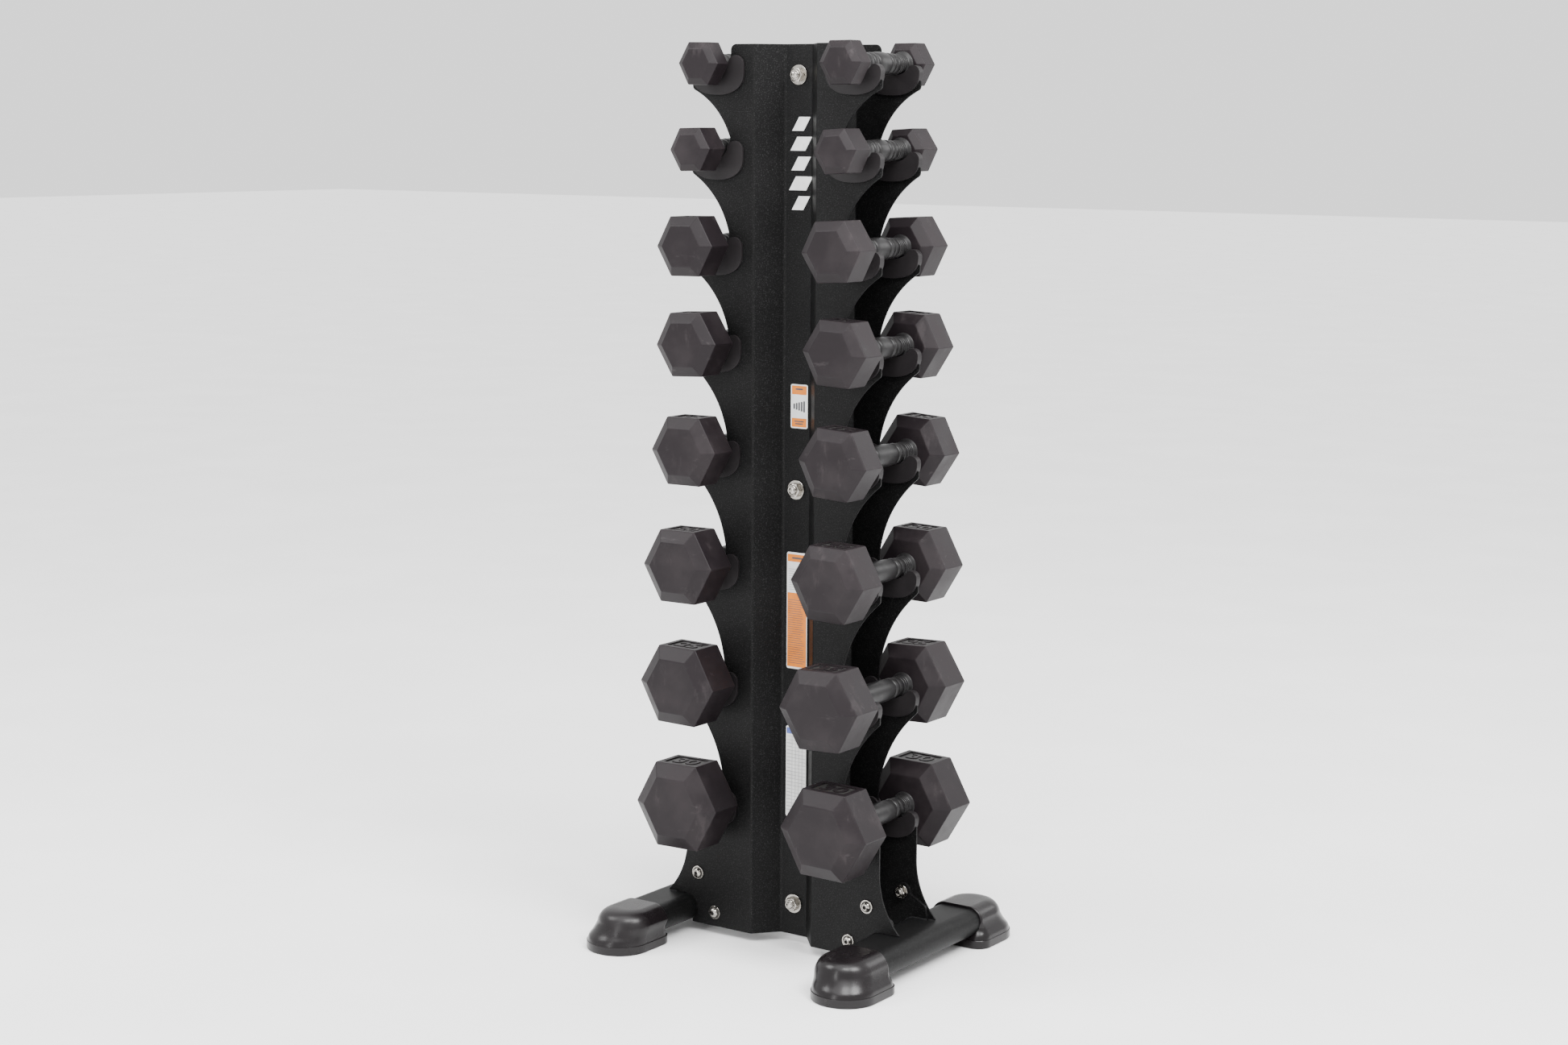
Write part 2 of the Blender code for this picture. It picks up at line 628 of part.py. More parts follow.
# ---------------------------------------------------------------- dumbbells
def dumbbell_mesh(name, across_flats, length, gap, cutters, parts):
    """One closed solid: a turned handle with a collar at each end, joined to two hexagonal heads."""
    inner = gap / 2
    outer = inner + length
    bevel = HEAD_BEVEL * across_flats
    face = HEAD_FACE * across_flats
    inner_face = inner - bevel
    collar = inner_face - COLLAR_LENGTH
    half = [(0.020, HANDLE_MIDDLE_RADIUS), (0.036, HANDLE_RADIUS), (collar, HANDLE_RADIUS),
            (collar, COLLAR_RADIUS), (inner_face + 0.002, COLLAR_RADIUS)]
    profile = [(-y, radius) for y, radius in reversed(half)] + half
    pattern = add_object(name + "_pattern", round_bar(name, profile, 10), parts)
    for index, sign in enumerate((-1, 1), start=1):
        sections = ((sign * inner_face, face), (sign * inner, across_flats),
                    (sign * outer, across_flats), (sign * (outer + bevel), face))
        head = hidden_cutter(hexagon_block(f"{name}_head_{index}", sections), cutters)
        combine(pattern, "UNION", head)
    mesh = apply_modifiers(pattern)
    shade_round(mesh)
    mesh.materials.clear()
    mesh.materials.append(head_rubber(name + "_rubber"))
    bpy.data.objects.remove(pattern, do_unlink=True)
    return mesh


def make_dumbbells(parts, cutters):
    for row, (weight, across_flats, length, gap, z) in enumerate(DUMBBELLS):
        name = f"dumbbell_{weight:02d}"
        mesh = dumbbell_mesh(name, across_flats, length, gap, cutters, parts)
        for side, sign in (("left", -1), ("right", 1)):
            roll, shift = SET_DOWN[side][row]
            item = add_object(f"{name}_{side}", mesh, parts)
            item.location = (sign * column_x(z), shift, PANEL_BOTTOM + z)
            item.rotation_euler.y = -math.radians(roll)


def main():
    clear_scene()
    parts = new_collection("dumbbell_rack")
    cutters = new_collection("cutters")
    make_panels(parts, cutters)
    make_saddles(parts, cutters)
    make_foot_tubes(parts, cutters)
    make_boots(parts, cutters)
    make_tie_bolts(parts, cutters)
    make_dumbbells(parts, cutters)


main()
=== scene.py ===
"""Looks of the two-sided dumbbell rack: painted panels, moulded saddles, feet, fasteners and dumbbells.

Frame: metres, +Z up, the origin on the floor under the middle of the rack. X runs across the two columns
of teeth, and Y runs along the dumbbells, from the front panel (-Y) to the rear panel (+Y).
"""

import math

import bmesh
import bpy
from mathutils import Matrix, Vector


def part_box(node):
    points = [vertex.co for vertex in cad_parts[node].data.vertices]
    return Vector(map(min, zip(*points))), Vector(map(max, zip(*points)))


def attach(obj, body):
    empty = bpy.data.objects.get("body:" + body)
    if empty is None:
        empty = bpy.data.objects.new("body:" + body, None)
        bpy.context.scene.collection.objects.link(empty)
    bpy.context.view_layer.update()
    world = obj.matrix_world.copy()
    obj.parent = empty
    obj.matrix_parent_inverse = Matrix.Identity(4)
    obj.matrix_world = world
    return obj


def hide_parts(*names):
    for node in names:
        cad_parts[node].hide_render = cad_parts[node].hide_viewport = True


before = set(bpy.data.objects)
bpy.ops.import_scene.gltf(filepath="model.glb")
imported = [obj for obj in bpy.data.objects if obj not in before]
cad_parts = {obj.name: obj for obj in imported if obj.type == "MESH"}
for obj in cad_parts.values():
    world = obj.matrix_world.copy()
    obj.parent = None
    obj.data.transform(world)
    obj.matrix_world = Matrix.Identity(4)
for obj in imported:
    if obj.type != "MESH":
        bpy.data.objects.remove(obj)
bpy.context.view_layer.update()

# ---------------------------------------------------------------- sizes, in metres
GAP = 0.0003                   # clearance between neighbouring pieces
PANEL_LOW, PANEL_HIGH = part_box("front_panel")
PANEL_BOTTOM = PANEL_LOW.z
PANEL_HEIGHT = PANEL_HIGH.z - PANEL_LOW.z
PANEL_FACE_Y = -PANEL_LOW.y    # outer face of a panel, from the middle of the rack
SHEET = 0.003
CHANNEL_BEND_X = 0.0547        # outer bend of the channel, from the middle
CHANNEL_FLOOR_X = 0.0237       # inner bend of the channel, from the middle
CHANNEL_DEPTH = 0.0355
BEND_RADIUS = 0.006
BEND_STEPS = 8

COLUMN_X = 0.1245              # dumbbell axis at the top of the panels, from the middle
COLUMN_SPREAD = 0.0118         # how much further out that axis is at the bottom of the panels
WAIST_INSET = 0.0282           # panel edge above a tooth, inwards of the dumbbell axis
TIP_REACH = 0.0403             # outer edge of a tooth, outwards of the dumbbell axis
TIP_STEP_REACH = 0.0360        # the same where the saddle's lip covers the edge
TIP_STEP = -0.0240             # height of that step, from the height of the dumbbell axis
TIP_TOP = -0.0060
TIP_BOTTOM = -0.0310
TIP_TOP_RADIUS = 0.005
TIP_BOTTOM_RADIUS = 0.007
WAIST_ABOVE_AXIS = 0.017
UNDERCUT_BULGE = 0.10          # bow of the curve under a tooth, as a share of its chord
TOP_CORNER_RADIUS = 0.009

SEAT_RADIUS = 0.030            # trough of a saddle
SEAT_CENTRE = 0.0147           # centre of the trough, above the dumbbell axis
SADDLE_WIDTH = 0.011
SADDLE_WALL = 0.0042
SADDLE_CENTRE = -0.0066        # middle of a saddle's flange, outwards of the dumbbell axis
SADDLE_HALF = 0.0469
SADDLE_SHOULDER = -0.012
SADDLE_BOTTOM = -0.0443
SADDLE_POWER = 2.4
EAR_CENTRE = -0.0018
LIP_TOP = -0.0015
LIP_RADIUS = 0.0105

FOOT_X = 0.1980                # middle of a foot tube
TUBE_HALF_WIDTH = 0.0418
TUBE_HALF_HEIGHT = 0.0206
TUBE_Z = 0.0362
TUBE_WALL = 0.0025
TUBE_HALF_LENGTH = 0.176
TUBE_CLEARANCE = 0.0005
FOOT_TIP_X = 0.2095
FOOT_FLARE_TOP = 0.130
FOOT_TIP_LIFT = 0.0015         # a foot's outer tip, above its tube
PANEL_CORNER_X = 0.1650
GUSSET = 0.005
GUSSET_INNER_X = 0.110
GUSSET_LOW = 0.010
GUSSET_TOP = 0.093

BOOT_HALF_WIDTH = 0.0500
BOOT_BASE_SHIFT = 0.0060
BOOT_END_Y = 0.2330
BOOT_INNER_Y = 0.131
BOOT_TOE_Y = 0.116             # inner end of a boot's base
BOOT_CORNER_RADIUS = 0.022
BOOT_TOP_CORNER = 0.003
BOOT_WALL = 0.0038

HANDLE_RADIUS = 0.0150
HANDLE_MIDDLE_RADIUS = 0.0168
HEAD_FACE = 0.68               # a head's end faces, as a share of its size across flats
HEAD_BEVEL = 0.115             # depth of the bevels round those faces, as the same kind of share

BOLT_HEIGHTS = (1.286, 0.681, 0.0490)      # tie bolts, from the panels' lower edge
SCREW_PLACES = ((0.1540, 0.0797), (0.1223, 0.0216))   # foot screws: from the middle, from the same edge

TIE_WASHER = (0.0145, 0.0055, 0.0022)      # radius, bore and thickness
TIE_WASHER_TOP = TIE_WASHER[-1] + GAP
FOOT_WASHER = (0.0103, 0.0050, 0.0016)
FOOT_WASHER_TOP = FOOT_WASHER[-1] + GAP
SLEEVE_RADIUS = 0.0100

STICKER_FILM = 0.0003
PRINT_BAR = (1.0, 0.00012, 0.0008)         # a line of small print, one unit long
CAMERA_PLACE = (2.1984, -3.2264, 1.2381)
CAMERA_TURN = (34.681, 8.655, 0.333)       # yaw, pitch down and roll, in degrees
LENS = 61.0                                # in millimetres, on a sensor 36 mm wide

SIDES = (("left", -1), ("right", 1))
HALF_TURN = Matrix.Rotation(math.pi, 4, "Z")

# weight in pounds, head across flats, length of a head's flats, gap between the two heads' flats and
# height of the axis from the panels' lower edge
DUMBBELLS = (
    (5, 0.0610, 0.0260, 0.1440, 1.3015),
    (8, 0.0620, 0.0385, 0.1410, 1.1785),
    (10, 0.0865, 0.0412, 0.1525, 1.0390),
    (12, 0.0935, 0.0430, 0.1515, 0.8955),
    (15, 0.1005, 0.0435, 0.1680, 0.7385),
    (20, 0.1080, 0.0508, 0.1720, 0.5680),
    (25, 0.1165, 0.0558, 0.1835, 0.3885),
    (30, 0.1285, 0.0556, 0.1795, 0.2040),
)
# how far each dumbbell is rolled in its saddles, in degrees, from the top row down
ROLLS = {
    "left": (-1.0, 1.5, 1.0, 2.5, 0.5, 0.5, -1.0, 1.0),
    "right": (0.5, 3.8, 3.0, -2.7, -3.8, -1.5, 1.8, -1.0),
}


# ---------------------------------------------------------------- node trees
class Level:
    """A number that varies over a surface. Sums and products of it add Math nodes."""

    def __init__(self, finish, socket):
        self.finish = finish
        self.socket = socket

    def _with(self, operation, other):
        return self.finish.level("ShaderNodeMath", {"operation": operation}, {0: self, 1: other})

    def __add__(self, other):
        return self._with("ADD", other)

    def __mul__(self, other):
        return self._with("MULTIPLY", other)

    __radd__ = __add__
    __rmul__ = __mul__

    def between(self, low, high):
        """0 below low, 1 above high, and smooth from one to the other."""
        return self.finish.level("ShaderNodeMapRange", {"interpolation_type": "SMOOTHSTEP"},
                                 {"Value": self, "From Min": low, "From Max": high})


class Nodes:
    """A node tree that adds a node from its type, its settings and the values or links of its sockets."""

    def node(self, kind, settings=None, inputs=None):
        made = self.tree.nodes.new(kind)
        for key, value in (settings or {}).items():
            setattr(made, key, value)
        for key, value in (inputs or {}).items():
            if isinstance(value, Level):
                value = value.socket
            if isinstance(value, bpy.types.NodeSocket):
                self.tree.links.new(value, made.inputs[key])
            else:
                made.inputs[key].default_value = value
        return made


class Finish(Nodes):
    """A procedural material on Object coordinates."""

    def __init__(self, name, metallic=0.0, specular=0.5):
        self.material = bpy.data.materials.new(name)
        self.material.use_nodes = True
        self.tree = self.material.node_tree
        self.shader = self.tree.nodes["Principled BSDF"]
        self.shader.inputs["Metallic"].default_value = metallic
        self.shader.inputs["Specular IOR Level"].default_value = specular
        self.place = self.node("ShaderNodeTexCoord").outputs["Object"]
        self.normal = None

    def level(self, kind, settings, inputs):
        return Level(self, self.node(kind, settings, inputs).outputs[0])

    def stretched(self, stretch):
        if stretch is None:
            return self.place
        return self.node("ShaderNodeMapping", None, {"Vector": self.place, "Scale": stretch}).outputs[0]

    def noise(self, scale, detail=3.0, rough=0.5, stretch=None):
        return self.level("ShaderNodeTexNoise", None, {
            "Vector": self.stretched(stretch), "Scale": scale, "Detail": detail, "Roughness": rough})

    def pores(self, scale, stretch):
        return self.level("ShaderNodeTexVoronoi", None, {"Vector": self.stretched(stretch), "Scale": scale})

    def blend(self, share, first, second):
        """Colour between two colours, each a triple or a colour socket."""
        first = (*first, 1.0) if isinstance(first, tuple) else first
        second = (*second, 1.0) if isinstance(second, tuple) else second
        mixed = self.node("ShaderNodeMix", {"data_type": "RGBA"}, {0: share, 6: first, 7: second})
        return mixed.outputs[2]

    def colour(self, socket):
        self.tree.links.new(socket, self.shader.inputs["Base Color"])

    def roughness(self, level):
        self.tree.links.new(level.socket, self.shader.inputs["Roughness"])

    def relief(self, level, strength, distance):
        """Adds a layer of bumps on top of the ones before."""
        inputs = {"Height": level, "Strength": strength, "Distance": distance}
        if self.normal is not None:
            inputs["Normal"] = self.normal
        self.normal = self.node("ShaderNodeBump", None, inputs).outputs[0]
        self.tree.links.new(self.normal, self.shader.inputs["Normal"])


# ---------------------------------------------------------------- finishes
def powder_coat(name, grain=1500.0):
    """Fine-textured satin black powder coat, a little dusty."""
    coat = Finish(name, specular=0.11)
    dust = coat.noise(7.0, 4.0).between(0.45, 0.75)
    speck = coat.noise(650.0, 2.0).between(0.52, 0.72)
    base = coat.blend(dust * 0.35, (0.0030, 0.0030, 0.0031), (0.0058, 0.0057, 0.0058))
    coat.colour(coat.blend(speck * 0.7, base, (0.0260, 0.0260, 0.0262)))
    coat.roughness(0.40 + 0.10 * coat.noise(5.0) + 0.06 * speck)
    coat.relief(coat.noise(grain, 2.0, 0.6), 0.55, 0.0004)
    coat.relief(coat.noise(60.0, 2.0), 0.05, 0.0010)
    return coat.material


def head_rubber(name):
    """Matte charcoal rubber with a brownish bloom, scuffs and a few rubbed streaks."""
    rubber = Finish(name, specular=0.15)
    bloom = rubber.noise(14.0, 5.0, 0.6).between(0.40, 0.72)
    scuff = rubber.noise(38.0, 6.0, 0.68, (1.0, 1.0, 0.35)).between(0.56, 0.72)
    streak = rubber.noise(70.0, 4.0, 0.7, (0.25, 1.0, 1.0)).between(0.62, 0.74)
    base = rubber.blend(bloom * 0.9, (0.0095, 0.0072, 0.0084), (0.0175, 0.0138, 0.0152))
    worn = rubber.blend(scuff * 0.35, base, (0.0480, 0.0400, 0.0420))
    rubber.colour(rubber.blend(streak * 0.20, worn, (0.0800, 0.0700, 0.0720)))
    rubber.roughness(0.42 + 0.14 * bloom + 0.08 * scuff)
    rubber.relief(rubber.noise(750.0, 3.0, 0.6), 0.22, 0.0003)
    rubber.relief(rubber.noise(30.0, 3.0), 0.10, 0.0010)
    return rubber.material


def grip_coat(name):
    """Dark coated steel of the handles, with a fine diamond knurl."""
    grip = Finish(name, specular=0.26)
    wear = grip.noise(90.0, 4.0, 0.6).between(0.50, 0.70)
    grip.colour(grip.blend(wear * 0.5, (0.0095, 0.0090, 0.0093), (0.0240, 0.0230, 0.0230)))
    grip.roughness(0.30 + 0.16 * grip.noise(120.0))
    grip.relief(grip.pores(900.0, (1.0, 0.8, 1.0)), 0.06, 0.0002)
    return grip.material


def boot_rubber(name):
    """Satin charcoal rubber with a soft bloom and small moulding marks."""
    rubber = Finish(name, specular=0.28)
    bloom = rubber.noise(18.0, 4.0).between(0.42, 0.70)
    base = rubber.blend(bloom * 0.6, (0.0052, 0.0041, 0.0046), (0.0090, 0.0072, 0.0079))
    mark = rubber.noise(140.0, 4.0, 0.6).between(0.64, 0.74)
    rubber.colour(rubber.blend(mark * 0.25, base, (0.0360, 0.0320, 0.0330)))
    rubber.roughness(0.24 + 0.10 * bloom)
    rubber.relief(rubber.noise(500.0, 3.0), 0.14, 0.0003)
    rubber.relief(rubber.noise(25.0, 2.0), 0.03, 0.0010)
    return rubber.material


def saddle_plastic(name):
    """Moulded dark plastic with a fine spark-eroded grain."""
    plastic = Finish(name, specular=0.20)
    tone = plastic.noise(25.0, 3.0).between(0.40, 0.70)
    plastic.colour(plastic.blend(tone * 0.6, (0.0105, 0.0091, 0.0098), (0.0165, 0.0146, 0.0154)))
    plastic.roughness(0.40 + 0.12 * plastic.noise(60.0))
    plastic.relief(plastic.noise(1300.0, 2.0), 0.25, 0.0003)
    return plastic.material


def bright_zinc(name):
    """Bright zinc plate with turning marks and a slightly cloudy polish."""
    zinc = Finish(name, metallic=1.0)
    cloud = zinc.noise(260.0, 4.0).between(0.35, 0.70)
    zinc.colour(zinc.blend(cloud, (0.30, 0.285, 0.26), (0.42, 0.40, 0.37)))
    zinc.roughness(0.20 + 0.08 * cloud)
    zinc.relief(zinc.noise(1500.0, 2.0), 0.05, 0.0001)
    return zinc.material


def dark_socket(name):
    """Dark nylon of a lock nut's ring, and painted shade in screw sockets, thread roots, under screw heads
    and in sunk panels.
    """
    dark = Finish(name)
    dark.colour(dark.blend(dark.noise(400.0).between(0.4, 0.7), (0.010, 0.010, 0.010), (0.035, 0.033, 0.030)))
    dark.roughness(0.45 + 0.2 * dark.noise(300.0))
    return dark.material


def sticker_film(name, first, second):
    """Printed vinyl film in two close tones."""
    film = Finish(name)
    film.colour(film.blend(film.noise(80.0, 3.0).between(0.35, 0.7), first, second))
    film.roughness(0.34 + 0.14 * film.noise(120.0))
    film.relief(film.noise(220.0), 0.04, 0.0004)
    return film.material


PAINT = powder_coat("black_powder_coat")
TUBE_PAINT = powder_coat("smooth_black_coat", 900.0)
HEADS = head_rubber("charcoal_head_rubber")
GRIP = grip_coat("dark_handle_coat")
BOOT = boot_rubber("charcoal_boot_rubber")
PLASTIC = saddle_plastic("dark_saddle_plastic")
ZINC = bright_zinc("bright_zinc_plate")
# Dark finish: the lock nuts' nylon ring, and painted shade in sockets, thread roots and under screw heads.
SHADE_AND_NYLON = dark_socket("dark_socket")
# Painted shade on the floors of the heads' sunk panels.
SUNK_PANEL_SHADE = dark_socket("painted_sunk_panel_shade")
FILM_WHITE = sticker_film("white_film", (0.60, 0.60, 0.59), (0.68, 0.68, 0.67))
FILM_ORANGE = sticker_film("orange_film", (0.56, 0.150, 0.0), (0.62, 0.170, 0.001))
FILM_INK = sticker_film("dark_ink", (0.045, 0.045, 0.050), (0.070, 0.070, 0.075))
FILM_GREY = sticker_film("grey_ink", (0.30, 0.30, 0.31), (0.38, 0.38, 0.39))
FILM_BLUE = sticker_film("blue_film", (0.060, 0.090, 0.300), (0.080, 0.120, 0.360))


# ---------------------------------------------------------------- shapes
def arc(centre, radius, start, end, steps):
    """Points of an arc in a plane, from one angle in degrees to the other."""
    points = []
    for step in range(steps + 1):
        angle = math.radians(start + (end - start) * step / steps)
        points.append((centre[0] + radius * math.cos(angle), centre[1] + radius * math.sin(angle)))
    return points


def bow(start, end, bulge, steps):
    """Points between two ends of a shallow circular arc that bows to the left of its chord."""
    start_point = Vector(start)
    chord = Vector(end) - start_point
    left = Vector((-chord.y, chord.x))
    points = []
    for step in range(1, steps):
        share = step / steps
        points.append(tuple(start_point + chord * share + left * (4.0 * bulge * share * (1.0 - share))))
    return points


def drop_repeats(points):
    """Points of an outline without any that lies on the one before it."""
    kept = []
    for point in points:
        if not kept or (Vector(point) - Vector(kept[-1])).length > 1e-5:
            kept.append(point)
    return kept


def with_finish(mesh, finish):
    mesh.materials.clear()
    mesh.materials.append(finish)
    return mesh


def place(name, data, finish=None):
    """An object of a mesh, curve, lamp or camera, linked to the scene."""
    item = bpy.data.objects.new(name, data)
    bpy.context.scene.collection.objects.link(item)
    if finish is not None:
        with_finish(data, finish)
    return item


def mesh_of(name, form):
    bmesh.ops.remove_doubles(form, verts=form.verts, dist=1e-6)
    bmesh.ops.recalc_face_normals(form, faces=form.faces)
    mesh = bpy.data.meshes.new(name)
    form.to_mesh(mesh)
    form.free()
    return mesh


def evaluated_mesh(item):
    bpy.context.view_layer.update()
    graph = bpy.context.evaluated_depsgraph_get()
    return bpy.data.meshes.new_from_object(item.evaluated_get(graph), depsgraph=graph)


def set_in_mesh(item):
    """Modifiers applied and the object's place moved into its mesh."""
    mesh = evaluated_mesh(item)
    mesh.transform(item.matrix_world)
    item.modifiers.clear()
    item.data = mesh
    item.matrix_world = Matrix.Identity(4)
    return item


def flat_plate(name, outline, thickness, y_middle=0.0):
    """Mesh of a flat plate in the XZ plane, made from a filled 2D curve."""
    curve = bpy.data.curves.new(name, "CURVE")
    curve.dimensions = "2D"
    curve.fill_mode = "BOTH"
    curve.extrude = thickness / 2
    spline = curve.splines.new("POLY")
    spline.points.add(len(outline) - 1)
    for point, (x, z) in zip(spline.points, outline):
        point.co = (x, z, 0.0, 1.0)
    spline.use_cyclic_u = True
    guide = place(name, curve)
    guide.matrix_world = Matrix.Translation((0.0, y_middle, 0.0)) @ Matrix.Rotation(math.pi / 2, 4, "X")
    mesh = evaluated_mesh(guide)
    mesh.transform(guide.matrix_world)
    discard(guide)
    form = bmesh.new()
    form.from_mesh(mesh)
    return mesh_of(name, form)


def unit_cube(name):
    form = bmesh.new()
    bmesh.ops.create_cube(form, size=1.0)
    return mesh_of(name, form)


def turned(name, profile, steps):
    """Mesh of a bar turned about Y: (position, radius) pairs along its axis, closed at both ends."""
    form = bmesh.new()
    ends = [(profile[0][0], 0.0), *profile, (profile[-1][0], 0.0)]
    points = [form.verts.new((radius, position, 0.0)) for position, radius in ends]
    edges = [form.edges.new(pair) for pair in zip(points, points[1:])]
    bmesh.ops.spin(form, geom=points + edges, cent=(0, 0, 0), axis=(0, 1, 0),
                   angle=2 * math.pi, steps=steps, use_merge=True)
    return mesh_of(name, form)


def lofted(name, rings):
    """Mesh through rings of points with the same count, closed by a face at each end."""
    form = bmesh.new()
    made = [[form.verts.new(point) for point in ring] for ring in rings]
    count = len(made[0])
    for low, high in zip(made, made[1:]):
        for k in range(count):
            form.faces.new((low[k], low[(k + 1) % count], high[(k + 1) % count], high[k]))
    form.faces.new(made[0])
    form.faces.new(made[-1])
    return mesh_of(name, form)


def hexagon_rings(sections):
    """Rings of a hexagonal block along Y, flats on top and bottom: (position, across flats) pairs."""
    rings = []
    for position, across_flats in sections:
        corner = across_flats / math.sqrt(3.0)
        rings.append([(corner * math.cos(math.radians(60 * k)), position,
                       corner * math.sin(math.radians(60 * k))) for k in range(6)])
    return rings


def joined(name, meshes):
    """One mesh of several, each with its own material."""
    form = bmesh.new()
    finishes = []
    for mesh in meshes:
        before = len(form.faces)
        form.from_mesh(mesh)
        form.faces.ensure_lookup_table()
        slots = list(mesh.materials)
        for face in form.faces[before:]:
            finish = slots[face.material_index]
            if finish not in finishes:
                finishes.append(finish)
            face.material_index = finishes.index(finish)
    whole = bpy.data.meshes.new(name)
    form.to_mesh(whole)
    form.free()
    for finish in finishes:
        whole.materials.append(finish)
    return whole


def combine(item, operation, other):
    step = item.modifiers.new(operation.title(), "BOOLEAN")
    step.operation = operation
    step.solver = "EXACT"
    step.object = other


def soften(item, width, segments, angle):
    """Rounds the edges at which faces meet at more than an angle."""
    edge = item.modifiers.new("Edge", "BEVEL")
    edge.width = width
    edge.segments = segments
    edge.limit_method = "ANGLE"
    edge.angle_limit = math.radians(angle)
    edge.miter_outer = "MITER_ARC"
    edge.use_clamp_overlap = True


def shade(mesh, angle, finish=None):
    """Smooth shading up to an angle between faces, and a finish."""
    mesh.shade_smooth()
    mesh.set_sharp_from_angle(angle=math.radians(angle))
    return mesh if finish is None else with_finish(mesh, finish)


def discard(*items):
    for item in items:
        bpy.data.objects.remove(item, do_unlink=True)


def even(item):
    """Flat faces shaded flat and rounded edges shaded round."""
    step = item.modifiers.new("Normals", "WEIGHTED_NORMAL")
    step.keep_sharp = True
    return set_in_mesh(item)


def rack_piece(item, material_slot, *nodes):
    """The piece belongs to the rack and stands for CAD nodes; its material_slot is not used."""
    even(item)
    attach(item, "rack")
    if nodes:
        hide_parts(*nodes)


# ---------------------------------------------------------------- geometry trees
class Pattern(Nodes):
    """A Geometry Nodes tree with named inputs, whose result is set in a plain mesh."""

    def __init__(self, name, **kinds):
        self.tree = bpy.data.node_groups.new(name, "GeometryNodeTree")
        face = self.tree.interface
        face.new_socket("Geometry", in_out="OUTPUT", socket_type="NodeSocketGeometry")
        face.new_socket("Geometry", in_out="INPUT", socket_type="NodeSocketGeometry")
        self.names = {}
        for label, kind in kinds.items():
            made = face.new_socket(label, in_out="INPUT", socket_type="NodeSocket" + kind)
            self.names[label] = made.identifier
        self.given = self.node("NodeGroupInput").outputs

    def end_with_copies(self, points, shape, finish, **sockets):
        """The tree's result: copies of a shape on points, in one finish or in the shape's own."""
        inputs = {"Points": points, "Instance": shape, **sockets}
        copies = self.node("GeometryNodeInstanceOnPoints", None, inputs).outputs[0]
        last = self.node("GeometryNodeRealizeInstances", None, {0: copies}).outputs[0]
        if finish is not None:
            coat = {"Material": finish, "Geometry": last}
            last = self.node("GeometryNodeSetMaterial", None, coat).outputs[0]
        self.node("NodeGroupOutput", None, {0: last})

    def grown(self, item, **values):
        """The object with the tree's result as its plain mesh."""
        step = item.modifiers.new("Pattern", "NODES")
        step.node_group = self.tree
        for label, value in values.items():
            step[self.names[label]] = value
        return set_in_mesh(item)


class Copies(Pattern):
    """Copies of a shape on points, each turned by its point's own angle."""

    def __init__(self, name, finish=None):
        super().__init__(name, Shape="Object", Turn="Float")
        shape = self.node("GeometryNodeObjectInfo", None, {"Object": self.given["Shape"]})
        angle = self.node("GeometryNodeInputNamedAttribute", {"data_type": "FLOAT"}, {"Name": "angle"})
        total = self.node("ShaderNodeMath", {"operation": "ADD"},
                          {0: angle.outputs["Attribute"], 1: self.given["Turn"]})
        turn = self.node("ShaderNodeCombineXYZ", None, {"Z": total.outputs[0]})
        self.end_with_copies(self.given["Geometry"], shape.outputs["Geometry"], finish,
                             Rotation=turn.outputs[0])

    def set_on(self, name, shape, places, turn=0.0):
        """A plain mesh object of the shape at each (position, angle) place."""
        points = bpy.data.meshes.new(name + "_points")
        points.from_pydata([position for position, _ in places], [], [])
        angles = points.attributes.new("angle", "FLOAT", "POINT")
        angles.data.foreach_set("value", [angle for _, angle in places])
        return self.grown(place(name, points), Shape=shape, Turn=turn)


# ---------------------------------------------------------------- places that several pieces share
def column_x(height):
    """How far from the middle a column's dumbbell axis is, at a height above the panels' lower edge."""
    return COLUMN_X + COLUMN_SPREAD * (1.0 - height / PANEL_HEIGHT)


def tooth_edge(x, z):
    """Edge of the sheet from the waist above a tooth, through its notch, round its tip."""
    radius = SEAT_RADIUS + SADDLE_WALL
    low = math.degrees(math.asin((SEAT_CENTRE - TIP_TOP) / radius))
    side = math.degrees(math.acos(WAIST_INSET / radius))
    points = arc((x, z + SEAT_CENTRE), radius, 180 + side, 360 - low, 12)
    step_x = x + TIP_STEP_REACH
    points += arc((step_x - TIP_TOP_RADIUS, z + TIP_TOP - TIP_TOP_RADIUS), TIP_TOP_RADIUS, 90, 0, 3)
    points += [(step_x, z + TIP_STEP), (x + TIP_REACH, z + TIP_STEP)]
    points += arc((x + TIP_REACH - TIP_BOTTOM_RADIUS, z + TIP_BOTTOM), TIP_BOTTOM_RADIUS, 0, -55, 5)
    return points


